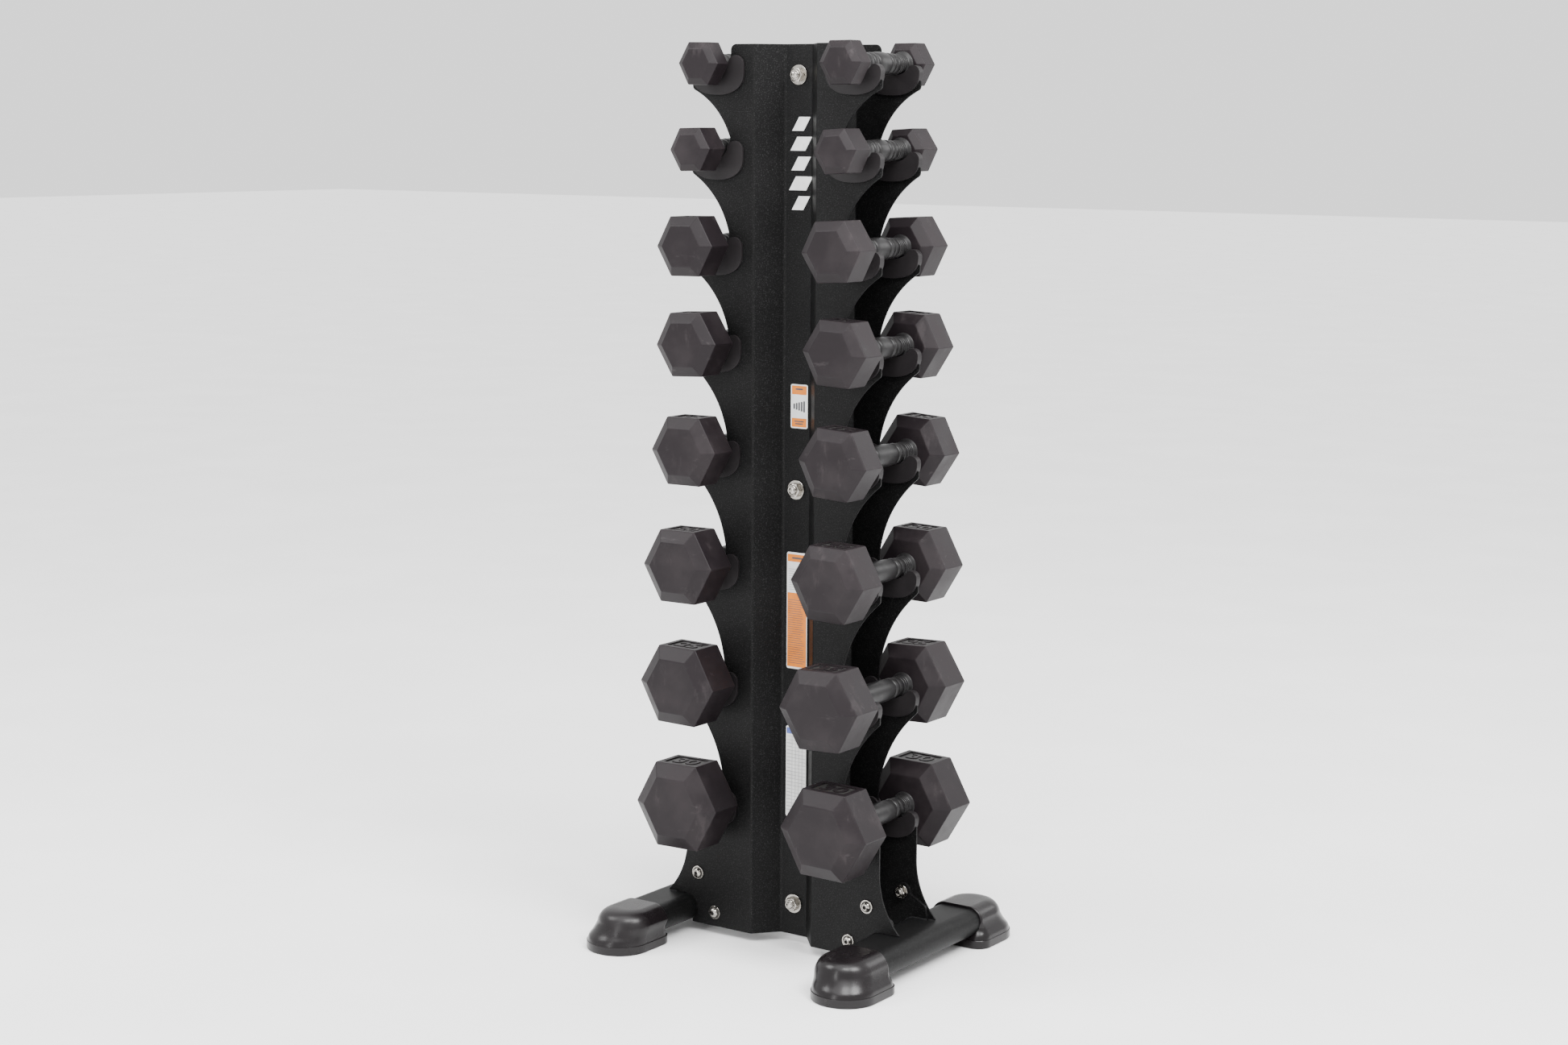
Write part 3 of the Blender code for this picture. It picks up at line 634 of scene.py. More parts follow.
def panel_half_outline():
    """Right half of a panel's outline, from the middle of its top to the middle of its bottom."""
    waist = column_x(DUMBBELLS[0][-1]) - WAIST_INSET
    points = [(0.0, PANEL_HEIGHT)]
    points += arc((waist - TOP_CORNER_RADIUS, PANEL_HEIGHT - TOP_CORNER_RADIUS), TOP_CORNER_RADIUS, 90, 0, 6)
    for row, (*_, z) in enumerate(DUMBBELLS):
        edge = tooth_edge(column_x(z), z)
        if row == len(DUMBBELLS) - 1:
            points += edge[:-6]
            break
        points += edge
        next_z = DUMBBELLS[row + 1][-1]
        next_waist = (column_x(next_z) - WAIST_INSET, next_z + WAIST_ABOVE_AXIS)
        points += bow(edge[-1], next_waist, -UNDERCUT_BULGE, 14)
        points.append(next_waist)
    tip_x = points[-1][0]
    tube_top = TUBE_Z - PANEL_BOTTOM + TUBE_HALF_HEIGHT + TUBE_CLEARANCE
    tip_height = tube_top + FOOT_TIP_LIFT
    points.append((tip_x, FOOT_FLARE_TOP))
    run = FOOT_TIP_X - tip_x
    rise = FOOT_FLARE_TOP - tip_height
    radius = (run * run + rise * rise) / (2 * run)
    sweep = math.degrees(math.asin(rise / radius))
    points += arc((tip_x + radius, FOOT_FLARE_TOP), radius, 180, 180 + sweep, 16)[1:]
    notch = TUBE_HALF_HEIGHT + TUBE_CLEARANCE
    round_x = FOOT_X - TUBE_HALF_WIDTH + TUBE_HALF_HEIGHT
    end_angle = 180 + math.degrees(math.acos((round_x - PANEL_CORNER_X) / notch))
    points.append((FOOT_TIP_X, tube_top))
    points += arc((round_x, TUBE_Z - PANEL_BOTTOM), notch, 90, end_angle, 16)
    points.append((PANEL_CORNER_X, 0.0))
    points.append((0.0, 0.0))
    return points


# ---------------------------------------------------------------- panels
def channel_profile():
    """Cross-section of a panel's outer face, in plan, from left to right."""
    slope = math.degrees(math.atan2(CHANNEL_DEPTH, CHANNEL_BEND_X - CHANNEL_FLOOR_X))
    tangent = BEND_RADIUS * math.tan(math.radians(slope / 2))
    outer = arc((CHANNEL_BEND_X + tangent, -PANEL_FACE_Y + BEND_RADIUS), BEND_RADIUS,
                270, 270 - slope, BEND_STEPS)
    inner = arc((CHANNEL_FLOOR_X - tangent, -PANEL_FACE_Y + CHANNEL_DEPTH - BEND_RADIUS), BEND_RADIUS,
                90 - slope, 90, BEND_STEPS)
    right = [(FOOT_TIP_X + 0.02, -PANEL_FACE_Y), *outer, *inner]
    left = [(-x, y) for x, y in right]
    return left + list(reversed(right))


def make_panels():
    half = panel_half_outline()
    whole = half + [(-x, z) for x, z in reversed(half[1:-1])]
    outline = [(x, z + PANEL_BOTTOM) for x, z in drop_repeats(whole)]
    blank = place("panel_blank", flat_plate("panel_blank", outline, 2.2 * PANEL_FACE_Y))
    form = bmesh.new()
    profile = channel_profile()
    low = [form.verts.new((x, y, PANEL_BOTTOM - 0.02)) for x, y in profile]
    high = [form.verts.new((x, y, PANEL_BOTTOM + PANEL_HEIGHT + 0.02)) for x, y in profile]
    for k in range(len(profile) - 1):
        form.faces.new((low[k], low[k + 1], high[k + 1], high[k]))
    sheet = bpy.data.meshes.new("bent_sheet")
    form.to_mesh(sheet)
    form.free()
    panel = place("front_panel_sheet", sheet, PAINT)
    wall = panel.modifiers.new("Sheet", "SOLIDIFY")
    wall.thickness = SHEET
    wall.offset = -1.0
    wall.use_even_offset = True
    combine(panel, "INTERSECT", blank)
    soften(panel, 0.0005, 2, 50.0)
    set_in_mesh(panel)
    shade(panel.data, 30.0)
    discard(blank)
    rear_mesh = panel.data.copy()
    rear_mesh.transform(HALF_TURN)
    with_finish(panel.data, PAINT)
    rack_piece(panel, "black_powder_coat", "front_panel")
    rack_piece(place("rear_panel_sheet", rear_mesh, PAINT), "black_powder_coat", "rear_panel")


# ---------------------------------------------------------------- saddles
def saddle_outline():
    """Outline of a saddle's flange around the dumbbell axis, clockwise from the inner ear."""
    inner = SADDLE_CENTRE - SADDLE_HALF
    outer = SADDLE_CENTRE + SADDLE_HALF
    rise = EAR_CENTRE - SEAT_CENTRE
    ear_radius = (-math.sqrt(SEAT_RADIUS ** 2 - rise ** 2) - inner) / 2
    points = arc((inner + ear_radius, EAR_CENTRE), ear_radius, 180, 0, 10)
    low = math.degrees(math.asin(-rise / SEAT_RADIUS))
    high = math.degrees(math.asin((SEAT_CENTRE - LIP_TOP) / SEAT_RADIUS))
    points += arc((0.0, SEAT_CENTRE), SEAT_RADIUS, 180 + low, 360 - high, 14)[1:]
    points += arc((outer - LIP_RADIUS, LIP_TOP - LIP_RADIUS), LIP_RADIUS, 90, 0, 6)
    depth = SADDLE_SHOULDER - SADDLE_BOTTOM
    for step in range(25):
        angle = -math.pi * step / 24
        x = math.copysign(abs(math.cos(angle)) ** (2 / SADDLE_POWER), math.cos(angle))
        z = -abs(math.sin(angle)) ** (2 / SADDLE_POWER)
        points.append((SADDLE_CENTRE + SADDLE_HALF * x, SADDLE_SHOULDER + depth * z))
    return drop_repeats(points)


def saddle_slot_outline():
    """Outline of the slot that takes the sheet's tooth, a clearance wider all round."""
    radius = SEAT_RADIUS + SADDLE_WALL - GAP
    side = math.degrees(math.acos((WAIST_INSET - GAP) / radius))
    low = math.degrees(math.asin((SEAT_CENTRE - TIP_TOP - GAP) / radius))
    reach = TIP_STEP_REACH + GAP
    top = TIP_TOP + GAP
    points = [(-WAIST_INSET + GAP, 0.05)]
    points += arc((0.0, SEAT_CENTRE), radius, 180 + side, 360 - low, 12)
    points += arc((reach - TIP_TOP_RADIUS, top - TIP_TOP_RADIUS), TIP_TOP_RADIUS, 90, 0, 3)
    points += [(reach, TIP_STEP + GAP), (0.08, TIP_STEP + GAP), (0.08, -0.08), (-0.08, -0.08), (-0.08, 0.05)]
    return points


def make_saddles():
    slot = place("saddle_slot", flat_plate("saddle_slot", saddle_slot_outline(), SHEET + 2 * GAP))
    pattern = place("saddle_shape", flat_plate("saddle_shape", saddle_outline(), SADDLE_WIDTH), PLASTIC)
    soften(pattern, 0.0016, 3, 40.0)
    combine(pattern, "DIFFERENCE", slot)
    set_in_mesh(pattern)
    shade(pattern.data, 32.0)
    moulding = Copies("saddles_on_teeth", PLASTIC)
    middle_y = PANEL_FACE_Y - SHEET / 2
    for place_name, y in (("front", -middle_y), ("rear", middle_y)):
        for side, sign in SIDES:
            spots = [((sign * column_x(z), y, PANEL_BOTTOM + z), 0.0) for *_, z in DUMBBELLS]
            turn = 0.0 if sign > 0 else math.pi
            item = moulding.set_on(f"saddle_row_{side}_{place_name}", pattern, spots, turn)
            nodes = [f"saddle_{side}_{place_name}_{row}" for row in range(1, len(DUMBBELLS) + 1)]
            rack_piece(item, "saddle_plastic", *nodes)
    discard(pattern, slot)


# ---------------------------------------------------------------- foot tubes and boots
def flat_oval(half_width, half_height, steps):
    """Outline with flat top and bottom and half-round sides."""
    straight = half_width - half_height
    return (arc((straight, 0.0), half_height, -90, 90, steps)
            + arc((-straight, 0.0), half_height, 90, 270, steps))


def gusset_outline():
    """Outline of a gusset plate, from inside the tube up its outer edge and down its inner edge."""
    top = PANEL_BOTTOM + GUSSET_TOP
    low = PANEL_BOTTOM + GUSSET_LOW
    return [
        (FOOT_X - 0.010, TUBE_Z - 0.004),
        (FOOT_X, TUBE_Z + 0.010),
        (FOOT_X, TUBE_Z + TUBE_HALF_HEIGHT + 0.001),
        *arc((0.1875, PANEL_BOTTOM + 0.0575), 0.0085, 15, 60, 5),
        (0.168, PANEL_BOTTOM + 0.078),
        *arc((0.155, top - 0.012), 0.012, 20, 130, 10),
        *arc((GUSSET_INNER_X + 0.012, PANEL_BOTTOM + 0.032), 0.012, 130, 180, 5),
        *arc((GUSSET_INNER_X + 0.008, low + 0.008), 0.008, 180, 270, 5),
        (FOOT_X - 0.030, low),
    ]


def weld_ripple():
    """One ripple of a weld bead: a low rounded lens."""
    profile = [(-0.0011, 0.0006), (-0.0008, 0.0017), (0.0, 0.0023), (0.0008, 0.0017), (0.0011, 0.0006)]
    return shade(turned("weld_ripple", profile, 8), 80.0)


def weld_places(y):
    """Ripples along the line where a gusset meets the top of its tube, then down its rounded side."""
    places = []
    top = TUBE_Z + TUBE_HALF_HEIGHT
    inner = FOOT_X - TUBE_HALF_WIDTH + TUBE_HALF_HEIGHT
    length = FOOT_X - inner
    count = int(length / 0.0017)
    for step in range(count + 1):
        places.append(((FOOT_X - length * step / count, y, top), math.pi / 2))
    for step in range(1, 14):
        angle = math.radians(90 + 6 * step)
        places.append(((inner + TUBE_HALF_HEIGHT * math.cos(angle), y,
                        TUBE_Z + TUBE_HALF_HEIGHT * math.sin(angle)), math.pi / 2))
    return places


def make_foot_tubes():
    outside = flat_oval(TUBE_HALF_WIDTH, TUBE_HALF_HEIGHT, 20)
    inside = flat_oval(TUBE_HALF_WIDTH - TUBE_WALL, TUBE_HALF_HEIGHT - TUBE_WALL, 20)
    gusset_y = PANEL_FACE_Y - SHEET - GAP - GUSSET / 2
    outline = [(x - FOOT_X, z - TUBE_Z) for x, z in gusset_outline()]
    tube = place("tube_pattern", flat_plate("tube_pattern", outside, 2 * TUBE_HALF_LENGTH))
    plates = []
    for y in (-gusset_y, gusset_y):
        plate = place("gusset_plate", flat_plate("gusset_plate", outline, GUSSET, y))
        soften(plate, 0.0006, 2, 40.0)
        set_in_mesh(plate)
        combine(tube, "UNION", plate)
        plates.append(plate)
    bore = place("tube_bore", flat_plate("tube_bore", inside, 2.2 * TUBE_HALF_LENGTH))
    combine(tube, "DIFFERENCE", bore)
    set_in_mesh(tube)
    pattern = shade(tube.data, 30.0)
    discard(tube, bore, *plates)
    ripple = place("weld_ripple", weld_ripple())
    beads = Copies("weld_bead", TUBE_PAINT)
    for side, sign in SIDES:
        turn = Matrix.Identity(4) if sign > 0 else HALF_TURN
        mesh = pattern.copy()
        mesh.transform(Matrix.Translation((sign * FOOT_X, 0.0, TUBE_Z)) @ turn)
        item = place(f"foot_tube_{side}_bar", mesh, TUBE_PAINT)
        rack_piece(item, "black_tube_coat", f"foot_tube_{side}")
        edges = [y + edge * GUSSET / 2 for y in (-gusset_y, gusset_y) for edge in (-1, 1)]
        spots = [spot for y in edges if abs(y) < gusset_y for spot in weld_places(y)]
        bead = beads.set_on(f"weld_bead_{side}", ripple, spots)
        if sign < 0:
            bead.data.transform(HALF_TURN)
        shade(bead.data, 60.0)
        rack_piece(bead, "black_tube_coat")
    discard(ripple)


def smooth_levels(keys, steps):
    """Levels through the key levels, on a Catmull-Rom curve."""
    levels = []
    last = len(keys) - 1
    for k in range(last):
        before, here, there, after = (keys[max(0, min(last, k + move))] for move in (-1, 0, 1, 2))
        for step in range(steps):
            t = step / steps
            level = []
            for a, b, c, d in zip(before, here, there, after):
                level.append(b + 0.5 * t * ((c - a) + t * ((2 * a - 5 * b + 4 * c - d)
                                                           + t * (3 * (b - c) + d - a))))
            levels.append(tuple(level))
    levels.append(keys[-1])
    return levels


def boot_levels():
    """Height, half width, outer end, sideways shift, inner end and inner corner radius of a boot's levels."""
    wide, end, shift = BOOT_HALF_WIDTH, BOOT_END_Y, BOOT_BASE_SHIFT
    toe, corner = BOOT_TOE_Y, BOOT_CORNER_RADIUS
    rim = ((0.0000, 0.0020), (0.0008, 0.0006), (0.0022, 0.0), (0.0126, 0.0), (0.0131, 0.0003),
           (0.0134, 0.0012))
    base = [(z, wide - inset, end - inset, shift, toe + inset, corner) for z, inset in rim]
    keys = [
        (0.0136, wide - 0.0012, end - 0.0013, shift, toe + 0.0013, corner),
        (0.0200, wide - 0.0020, end - 0.0036, shift * 0.9, toe + 0.0045, corner * 0.9),
        (0.0280, wide - 0.0040, end - 0.0095, shift * 0.5, toe + 0.0105, corner * 0.6),
    ]
    crown = TUBE_HALF_HEIGHT + BOOT_WALL
    straight = TUBE_HALF_WIDTH - TUBE_HALF_HEIGHT
    shoulder = ((5, 0.0150), (20, 0.0172), (35, 0.0200), (50, 0.0242), (65, 0.0305), (78, 0.0395),
                (86, 0.0490))
    for degrees, inset in shoulder:
        angle = math.radians(degrees)
        inner = BOOT_INNER_Y if degrees > 5 else BOOT_INNER_Y - 0.0010
        keys.append((TUBE_Z + crown * math.sin(angle), straight + crown * math.cos(angle), end - inset, 0.0,
                     inner, BOOT_TOP_CORNER))
    return base + smooth_levels(keys, 3)


def boot_section(half_width, end_y, shift, inner_y, corner):
    """One level of a boot around its tube's axis: half-round outer end towards -Y, rounded inner corners."""
    end_radius = half_width * 0.97
    points = arc((half_width - corner, -inner_y - corner), corner, 90, 0, 6)
    for step in range(37):
        angle = -math.pi * step / 36
        points.append((half_width * math.cos(angle), end_radius * (1.0 + math.sin(angle)) - end_y))
    points += arc((corner - half_width, -inner_y - corner), corner, 180, 90, 6)
    return [(x + shift, y) for x, y in points]


def make_boots():
    rings = [[(x, y, z) for x, y in boot_section(*section)] for z, *section in boot_levels()]
    pattern = place("boot_pattern", lofted("boot_pattern", rings))
    outline = flat_oval(TUBE_HALF_WIDTH + GAP, TUBE_HALF_HEIGHT + GAP, 20)
    spare = 0.02
    length = TUBE_HALF_LENGTH + GAP - BOOT_INNER_Y + spare
    middle = spare - BOOT_INNER_Y - length / 2
    pocket = place("boot_pocket", flat_plate("boot_pocket", outline, length, middle))
    pocket.location.z = TUBE_Z
    combine(pattern, "DIFFERENCE", pocket)
    set_in_mesh(pattern)
    mesh = shade(pattern.data, 32.0)
    discard(pattern, pocket)
    mirrored = mesh.copy()
    mirrored.transform(Matrix.Scale(-1.0, 4, (1.0, 0.0, 0.0)))
    mirrored.flip_normals()
    for side, sign in SIDES:
        for end, turn in (("front", 0.0), ("rear", math.pi)):
            same_hand = (sign > 0) == (end == "front")
            boot = (mesh if same_hand else mirrored).copy()
            boot.transform(Matrix.Translation((sign * FOOT_X, 0.0, 0.0)) @ Matrix.Rotation(turn, 4, "Z"))
            item = place(f"rubber_boot_{side}_{end}", boot, BOOT)
            rack_piece(item, "boot_rubber", f"boot_{side}_{end}")


# ---------------------------------------------------------------- fasteners
def washer(radius, bore, thickness, start, finish):
    """Flat ring with broken edges, from a start height towards -Y."""
    edge = 0.0003
    form = bmesh.new()
    profile = [(bore, 0.0), (radius - edge, 0.0), (radius, edge), (radius, thickness - edge),
               (radius - edge, thickness), (bore, thickness)]
    points = [form.verts.new((x, -(start + y), 0.0)) for x, y in profile]
    edges = [form.edges.new((points[k], points[(k + 1) % len(points)])) for k in range(len(points))]
    bmesh.ops.spin(form, geom=points + edges, cent=(0, 0, 0), axis=(0, 1, 0),
                   angle=2 * math.pi, steps=32, use_merge=True)
    return shade(mesh_of("washer", form), 40.0, finish)


def hex_nut(across_flats, height, start):
    """Lock nut: chamfered hexagon with a round collar that holds a dark ring."""
    flats = hexagon_rings(((-start, across_flats), (-start - height, across_flats)))
    block = place("nut_block", lofted("nut_block", flats), ZINC)
    cone = [(-start - height, across_flats * 0.46), (-start - height + 0.0016, across_flats * 0.60),
            (-start - 0.0016, across_flats * 0.60), (-start, across_flats * 0.50)]
    blank = place("nut_blank", turned("nut_blank", cone, 36))
    combine(block, "INTERSECT", blank)
    set_in_mesh(block)
    body = shade(block.data, 25.0, ZINC)
    discard(block, blank)
    top = start + height
    wall = across_flats * 0.40
    collar = [(-top + 0.001, wall), (-top - 0.0018, wall), (-top - 0.0026, wall * 0.90),
              (-top - 0.0024, wall * 0.74), (-top - 0.0010, wall * 0.72)]
    ring = [(-top, wall * 0.73), (-top - 0.0012, wall * 0.72)]
    return joined("lock_nut", [body, shade(turned("collar", collar, 32), 40.0, ZINC),
                               shade(turned("ring", ring, 24), 40.0, SHADE_AND_NYLON)])


def threaded_end(radius, start, end):
    """Bolt end with thread crests as rounded rings and a chamfered tip; the roots between the crests carry
    painted shade.
    """
    profile = [(-start, radius)]
    pitch = 0.00125
    crest = start
    while crest + pitch < end - 0.001:
        profile += [(-crest - pitch * 0.25, radius), (-crest - pitch * 0.5, radius * 0.88)]
        crest += pitch
    profile += [(-end + 0.001, radius), (-end, radius * 0.78)]
    # Painted shade: the thread roots take the dark finish, as shade between the crests.
    root = [(-start, radius * 0.91), (-end + 0.0016, radius * 0.91)]
    return joined("bolt_end", [shade(turned("crests", profile, 24), 50.0, ZINC),
                               shade(turned("painted_thread_root_shade", root, 24), 50.0, SHADE_AND_NYLON)])


def socket_screw(head_radius, head_height, start):
    """Button-head screw with a hexagonal socket, whose floor is a dark plate of painted shade."""
    dome = [(-start, head_radius)]
    for step in range(1, 9):
        angle = math.radians(12 + 78 * step / 9)
        dome.append((-start - head_height * math.sin(angle), head_radius * math.cos(angle) ** 0.8))
    dome.append((-start - head_height, head_radius * 0.42))
    head = place("screw_head", turned("screw_head", dome, 36), ZINC)
    depth = head_height * 0.75
    low, high = -start - head_height + depth, -start - head_height - 0.002
    key = place("hex_key", lofted("hex_key", hexagon_rings(((low, 0.0056), (high, 0.0056)))))
    combine(head, "DIFFERENCE", key)
    set_in_mesh(head)
    body = shade(head.data, 32.0, ZINC)
    discard(head, key)
    # Painted shade: a dark plate on the socket's floor stands for the shade down in the socket.
    floor = lofted("painted_socket_shade", hexagon_rings(((low, 0.0055), (low - 0.0003, 0.0055))))
    return joined("socket_screw", [body, with_finish(floor, SHADE_AND_NYLON)])


def make_fasteners():
    """Tie bolts through both channel floors, and short screws through the panels and gussets."""
    floor_y = PANEL_FACE_Y - CHANNEL_DEPTH
    tie_shape = place("tie_bolt_shape", joined("tie_bolt_end", [
        washer(*TIE_WASHER, GAP, ZINC), hex_nut(0.0190, 0.0078, TIE_WASHER_TOP),
        threaded_end(0.0049, TIE_WASHER_TOP, 0.0150)]))
    bolting = Copies("tie_bolt_ends")
    sleeve_end = floor_y - SHEET - GAP
    sleeve = turned("distance_sleeve", [(-sleeve_end, SLEEVE_RADIUS), (sleeve_end, SLEEVE_RADIUS)], 32)
    sleeve_shape = place("distance_sleeve", shade(sleeve, 40.0), ZINC)
    for name, height in zip(("top", "middle", "bottom"), BOLT_HEIGHTS):
        z = PANEL_BOTTOM + height
        spots = [((0.0, -floor_y, z), 0.0), ((0.0, floor_y, z), math.pi)]
        ends = bolting.set_on(f"tie_bolt_{name}_ends", tie_shape, spots)
        rack_piece(ends, "bright_zinc", f"tie_bolt_{name}")
        bar = bolting.set_on(f"tie_bolt_{name}_sleeve", sleeve_shape, [((0.0, 0.0, z), 0.0)])
        rack_piece(bar, "bright_zinc")
    # Painted shadow: a thin dark ring between each foot screw's washer and head stands for the shadow gap
    # there.
    head_shape = place("foot_screw_shape", joined("foot_screw", [
        washer(*FOOT_WASHER, GAP, ZINC), washer(0.0084, 0.0050, 0.0003, FOOT_WASHER_TOP, SHADE_AND_NYLON),
        socket_screw(0.0074, 0.0048, 0.0022)]))
    nut_shape = place("foot_nut_shape", joined("foot_nut", [
        washer(*FOOT_WASHER, GAP, ZINC), hex_nut(0.0150, 0.0062, FOOT_WASHER_TOP),
        threaded_end(0.0044, FOOT_WASHER_TOP, 0.0115)]))
    inside_y = PANEL_FACE_Y - SHEET - GAP - GUSSET
    screwing = Copies("foot_screws")
    for side, sign in SIDES:
        outer, inner = [], []
        for x, z in SCREW_PLACES:
            for y_sign in (-1, 1):
                turn = 0.0 if y_sign < 0 else math.pi
                spot_z = PANEL_BOTTOM + z
                outer.append(((sign * x, y_sign * PANEL_FACE_Y, spot_z), turn))
                inner.append(((sign * x, y_sign * inside_y, spot_z), turn + math.pi))
        rack_piece(screwing.set_on(f"foot_screws_{side}", head_shape, outer), "bright_zinc")
        rack_piece(screwing.set_on(f"foot_nuts_{side}", nut_shape, inner), "bright_zinc")
    discard(tie_shape, sleeve_shape, head_shape, nut_shape)


# ---------------------------------------------------------------- stickers
def slab(width, height, thickness, radius):
    """Thin plate with round corners, in the XZ plane around the origin."""
    x, z = width / 2 - radius, height / 2 - radius
    outline = (arc((x, z), radius, 90, 0, 4) + arc((x, -z), radius, 0, -90, 4)
               + arc((-x, -z), radius, 270, 180, 4) + arc((-x, z), radius, 180, 90, 4))
    return flat_plate("slab", outline, thickness)


def print_lines(name, finish, width, height, pitch, seed):
    """Mesh of rows of short bars of uneven length, as a block of small print looks."""
    rows = Pattern(name, Width="Float", Height="Float", Pitch="Float")
    given = rows.given
    count = rows.node("ShaderNodeMath", {"operation": "DIVIDE"}, {0: given["Height"], 1: given["Pitch"]})
    step = rows.node("ShaderNodeCombineXYZ", None, {"Z": given["Pitch"]})
    line = rows.node("GeometryNodeMeshLine", None, {"Count": count.outputs[0], "Offset": step.outputs[0]})
    bar = rows.node("GeometryNodeMeshCube", None, {"Size": PRINT_BAR}).outputs["Mesh"]
    bar = rows.node("GeometryNodeTransform", None, {"Translation": (0.5, 0.0, 0.0), "Geometry": bar})
    share = rows.node("FunctionNodeRandomValue", {"data_type": "FLOAT"}, {2: 0.72, 3: 1.0, "Seed": seed})
    length = rows.node("ShaderNodeMath", {"operation": "MULTIPLY"}, {0: share.outputs[1], 1: given["Width"]})
    size = rows.node("ShaderNodeCombineXYZ", None, {0: length.outputs[0], 1: 1.0, 2: 1.0})
    rows.end_with_copies(line.outputs["Mesh"], bar.outputs[0], finish, Scale=size.outputs[0])
    item = rows.grown(place(name, bpy.data.meshes.new(name)), Width=width, Height=height, Pitch=pitch)
    mesh = item.data
    discard(item)
    return mesh


def moved(mesh, x=0.0, y=0.0, z=0.0):
    mesh.transform(Matrix.Translation((x, y, z)))
    return mesh


def make_sticker(name, x, z, meshes):
    floor_y = PANEL_FACE_Y - CHANNEL_DEPTH
    rack_piece(place(name, moved(joined(name, meshes), x, -floor_y - GAP, z)), "black_powder_coat")


def film(width, height, finish, layer, x=0.0, z=0.0, radius=0.001):
    """One printed area: layers lie on top of each other, each a hair thicker than the one below."""
    area = with_finish(slab(width, height, STICKER_FILM, radius), finish)
    return moved(area, x, -layer * STICKER_FILM / 2, z)


def make_stickers():
    sign = [film(0.0300, 0.0650, FILM_WHITE, 0, radius=0.003), film(0.0260, 0.0130, FILM_ORANGE, 1, z=0.0240),
            film(0.0260, 0.0130, FILM_ORANGE, 1, z=-0.0240), film(0.0130, 0.0022, FILM_INK, 2, z=0.0255),
            film(0.0170, 0.0018, FILM_INK, 2, z=-0.0222), film(0.0140, 0.0018, FILM_INK, 2, z=-0.0258)]
    for step in range(5):
        sign.append(film(0.0030, 0.0080 + 0.0022 * step, FILM_INK, 2, -0.0088 + 0.0044 * step, 0.0, 0.0012))
    make_sticker("small_sign", 0.0040, 0.8190, sign)

    notice = [film(0.0365, 0.1760, FILM_WHITE, 0, radius=0.003),
              film(0.0340, 0.0110, FILM_ORANGE, 1, z=0.0795),
              film(0.0340, 0.1120, FILM_ORANGE, 1, z=-0.0290), film(0.0180, 0.0026, FILM_INK, 2, z=0.0795),
              moved(print_lines("upper_print", FILM_GREY, 0.030, 0.036, 0.0034, 3), -0.015, -0.0004, 0.0320),
              moved(print_lines("lower_print", FILM_INK, 0.030, 0.100, 0.0034, 5), -0.015, -0.0004, -0.0790)]
    make_sticker("long_notice", 0.0022, 0.5130, notice)

    table = [film(0.0365, 0.1400, FILM_WHITE, 0, radius=0.003), film(0.0340, 0.0090, FILM_BLUE, 1, z=0.0625)]
    for row in range(22):
        table.append(film(0.0340, 0.0005, FILM_GREY, 2, 0.0, 0.0540 - 0.0054 * row, 0.0002))
    for x in (-0.0070, -0.0010, 0.0050, 0.0110):
        table.append(film(0.0005, 0.1150, FILM_GREY, 2, x, -0.0030, 0.0002))
    first_column = print_lines("table_print", FILM_GREY, 0.008, 0.112, 0.0054, 9)
    table.append(moved(first_column, -0.0160, -0.0004, -0.0590))
    make_sticker("exercise_table", 0.0022, 0.2670, table)

    emblem = []
    for step, tall in enumerate((0.020, 0.030, 0.022, 0.026, 0.020)):
        lean = 0.006
        low = -0.0680 + 0.0285 * step
        outline = [(-tall / 2 - lean, low), (tall / 2 - lean, low), (tall / 2 + lean, low + 0.0200),
                   (-tall / 2 + lean, low + 0.0200)]
        emblem.append(with_finish(flat_plate("emblem_bar", outline, STICKER_FILM), FILM_WHITE))
    make_sticker("plain_bar_emblem", 0.0045, 1.1740, emblem)


# ---------------------------------------------------------------- dumbbells
def bead(centre, half, radius, rise):
    """Profile of a rounded ring on a handle."""
    points = []
    for step in range(7):
        angle = math.pi * step / 6
        points.append((centre - half * math.cos(angle), radius + rise * math.sin(angle)))
    return points


def handle_profile(inner_face):
    """Half profile of a handle: bulged grip, two rings, a ribbed neck and a flared collar."""
    grip = 0.016 + (inner_face - 0.065) * 1.6
    groove = HANDLE_RADIUS - 0.0012
    points = [(grip * share, HANDLE_MIDDLE_RADIUS - 0.0012 * share * share)
              for share in (0.0, 0.3, 0.6, 0.85)]
    points += [(grip - 0.0008, HANDLE_MIDDLE_RADIUS - 0.0016), (grip, groove)]
    points += bead(grip + 0.0070, 0.0050, groove, 0.0020)
    points += bead(grip + 0.0185, 0.0045, groove, 0.0012)
    start = grip + 0.0250
    count = max(2, int((inner_face - 0.0045 - start) / 0.0042))
    pitch = (inner_face - 0.0045 - start) / count
    for step in range(count):
        points += bead(start + pitch * (step + 0.5), pitch * 0.42, groove, 0.0009)
    points += [(inner_face - 0.0030, HANDLE_RADIUS), (inner_face - 0.0020, 0.0182),
               (inner_face - 0.0006, 0.0190), (inner_face + 0.0030, 0.0192)]
    return points


def digits(text, size, width):
    """Raised digits, flat on the XY plane around the origin, fitted to a width."""
    curve = bpy.data.curves.new("digits", "FONT")
    curve.body = text
    curve.size = size
    curve.align_x = "CENTER"
    curve.align_y = "CENTER"
    curve.extrude = 0.0006
    curve.offset = size * 0.022
    curve.resolution_u = 4
    item = place("digits", curve)
    mesh = evaluated_mesh(item)
    discard(item)
    across = [vertex.co.x for vertex in mesh.vertices]
    spread = max(across) - min(across)
    mesh.transform(Matrix.Scale(min(1.6, width / spread), 4, (1.0, 0.0, 0.0)))
    form = bmesh.new()
    form.from_mesh(mesh)
    return mesh_of("digits", form)


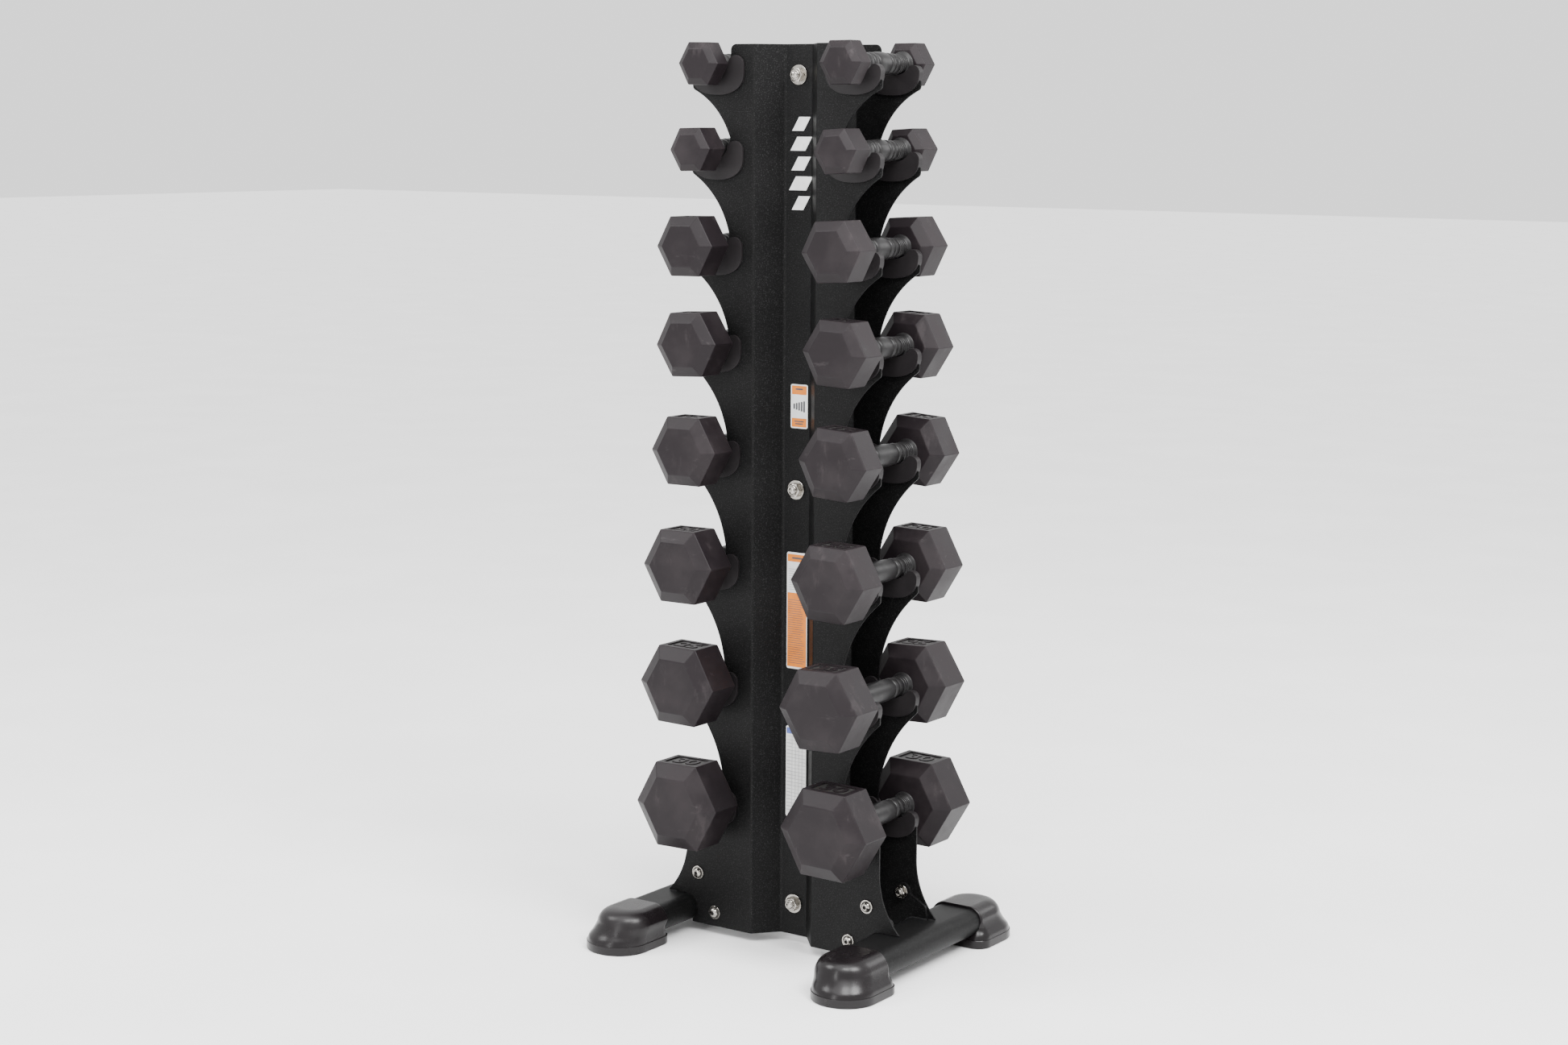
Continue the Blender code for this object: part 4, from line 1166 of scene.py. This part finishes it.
def head_mesh(weight, across_flats, length, inner, sign):
    """One hexagonal head: bevelled end faces, rounded edges and a sunk panel with the weight on top, whose
    floor is a dark plate of painted shade.
    """
    bevel = HEAD_BEVEL * across_flats
    face = HEAD_FACE * across_flats
    outer = inner + length
    sections = ((sign * (inner - bevel), face), (sign * inner, across_flats),
                (sign * outer, across_flats), (sign * (outer + bevel), face))
    head = place("head_block", lofted("head_block", hexagon_rings(sections)))
    soften(head, 0.0007 + 0.004 * across_flats, 3, 15.0)
    middle = sign * (inner + outer) / 2
    wide = across_flats * 0.44
    deep = length * 0.70
    sink = 0.0022
    cut = place("sunk_panel", unit_cube("sunk_panel"))
    cut.scale = (wide, deep, 2 * sink)
    cut.location = (0.0, middle, across_flats / 2)
    combine(head, "DIFFERENCE", cut)
    set_in_mesh(head)
    block = shade(head.data, 30.0, HEADS)
    discard(head, cut)
    text = digits(str(weight), deep * 0.95, wide * 0.72)
    text.transform(Matrix.Translation((0.0, middle, across_flats / 2 - sink + 0.0010)))
    # Painted shade: a thin dark plate on the sunk panel's floor stands for the shade in the recess.
    floor = unit_cube("sunk_panel_shade_plate")
    floor.transform(Matrix.Translation((0.0, middle, across_flats / 2 - sink + 0.0001))
                    @ Matrix.Diagonal((wide - 0.0006, deep - 0.0006, 0.0003, 1.0)))
    return [block, with_finish(text, HEADS), with_finish(floor, SUNK_PANEL_SHADE)]


def make_dumbbells():
    for row, (weight, across_flats, length, gap, z) in enumerate(DUMBBELLS):
        inner = gap / 2
        inner_face = inner - HEAD_BEVEL * across_flats
        half = handle_profile(inner_face)
        profile = [(-y, radius) for y, radius in reversed(half[1:])] + half
        handle = shade(turned("handle", profile, 32), 50.0, GRIP)
        heads = [part for end in (-1, 1) for part in head_mesh(weight, across_flats, length, inner, end)]
        pair_shape = even(place("heads_shape", joined("heads", heads)))
        handle_shape = even(place("handle_shape", handle))
        for side, sign in SIDES:
            node = f"dumbbell_{weight:02d}_{side}"
            low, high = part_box(node)
            axis = (low + high) / 2
            roll = math.radians(ROLLS[side][row])
            set_down = Matrix.Translation(axis) @ Matrix.Rotation(-roll, 4, "Y")
            for suffix, shape in (("heads", pair_shape), ("handle", handle_shape)):
                piece_mesh = shape.data.copy()
                piece_mesh.transform(set_down)
                item = place(f"{node}_{suffix}", piece_mesh)
                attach(item, node)
                if suffix == "heads":
                    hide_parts(node)
        discard(pair_shape, handle_shape)


# ---------------------------------------------------------------- floor, light and camera
def make_stage():
    ground = Finish("pale_floor", specular=0.2)
    ground.colour(ground.blend(ground.noise(3.0).between(0.3, 0.8), (0.88, 0.88, 0.88), (0.92, 0.92, 0.92)))
    ground.roughness(0.75 + 0.1 * ground.noise(6.0))
    form = bmesh.new()
    bmesh.ops.create_grid(form, x_segments=2, y_segments=2, size=30.0)
    floor = place("studio_floor", mesh_of("studio_floor", form), ground.material)

    world = bpy.data.worlds.new("studio")
    world.use_nodes = True
    sky = world.node_tree.nodes["Background"]
    sky.inputs["Color"].default_value = (1.0, 1.0, 1.0, 1.0)
    sky.inputs["Strength"].default_value = 1.5
    bpy.context.scene.world = world
    lamps = (
        ("front_strip", (-0.3, -4.0, 1.3), 0.25, 2.2, 30.0),
        ("left_softbox", (-2.2, -1.8, 2.8), 1.4, 1.4, 70.0),
        ("top_softbox", (1.2, -2.0, 3.5), 1.2, 1.2, 78.0),
        ("side_softbox", (2.3, -0.7, 3.0), 1.3, 1.3, 150.0),
        ("rim_softbox", (1.8, 2.9, 2.2), 1.5, 1.5, 25.0),
    )
    target = Vector((0.0, 0.0, 0.65))
    for name, position, width, height, power in lamps:
        lamp = bpy.data.lights.new(name, "AREA")
        lamp.shape = "RECTANGLE"
        lamp.size, lamp.size_y, lamp.energy = width, height, power
        item = place(name, lamp)
        item.location = position
        item.rotation_euler = (target - Vector(position)).to_track_quat("-Z", "Y").to_euler()
    sun = bpy.data.lights.new("ceiling_light", "SUN")
    sun.energy = 2.5
    sun.angle = math.radians(60.0)
    item = place("ceiling_light", sun)
    item.rotation_euler = (math.radians(22.0), 0.0, math.radians(20.0))


def make_camera():
    lens = bpy.data.cameras.new("camera")
    lens.lens = LENS
    lens.sensor_width = 36.0
    camera = place("camera", lens)
    yaw, pitch, roll = (math.radians(angle) for angle in CAMERA_TURN)
    camera.matrix_world = (Matrix.Translation(CAMERA_PLACE) @ Matrix.Rotation(yaw, 4, "Z")
                           @ Matrix.Rotation(math.pi / 2 - pitch, 4, "X") @ Matrix.Rotation(roll, 4, "Z"))
    bpy.context.scene.camera = camera


make_panels()
make_saddles()
make_foot_tubes()
make_boots()
make_fasteners()
make_stickers()
make_dumbbells()
make_stage()
make_camera()

bpy.context.view_layer.update()
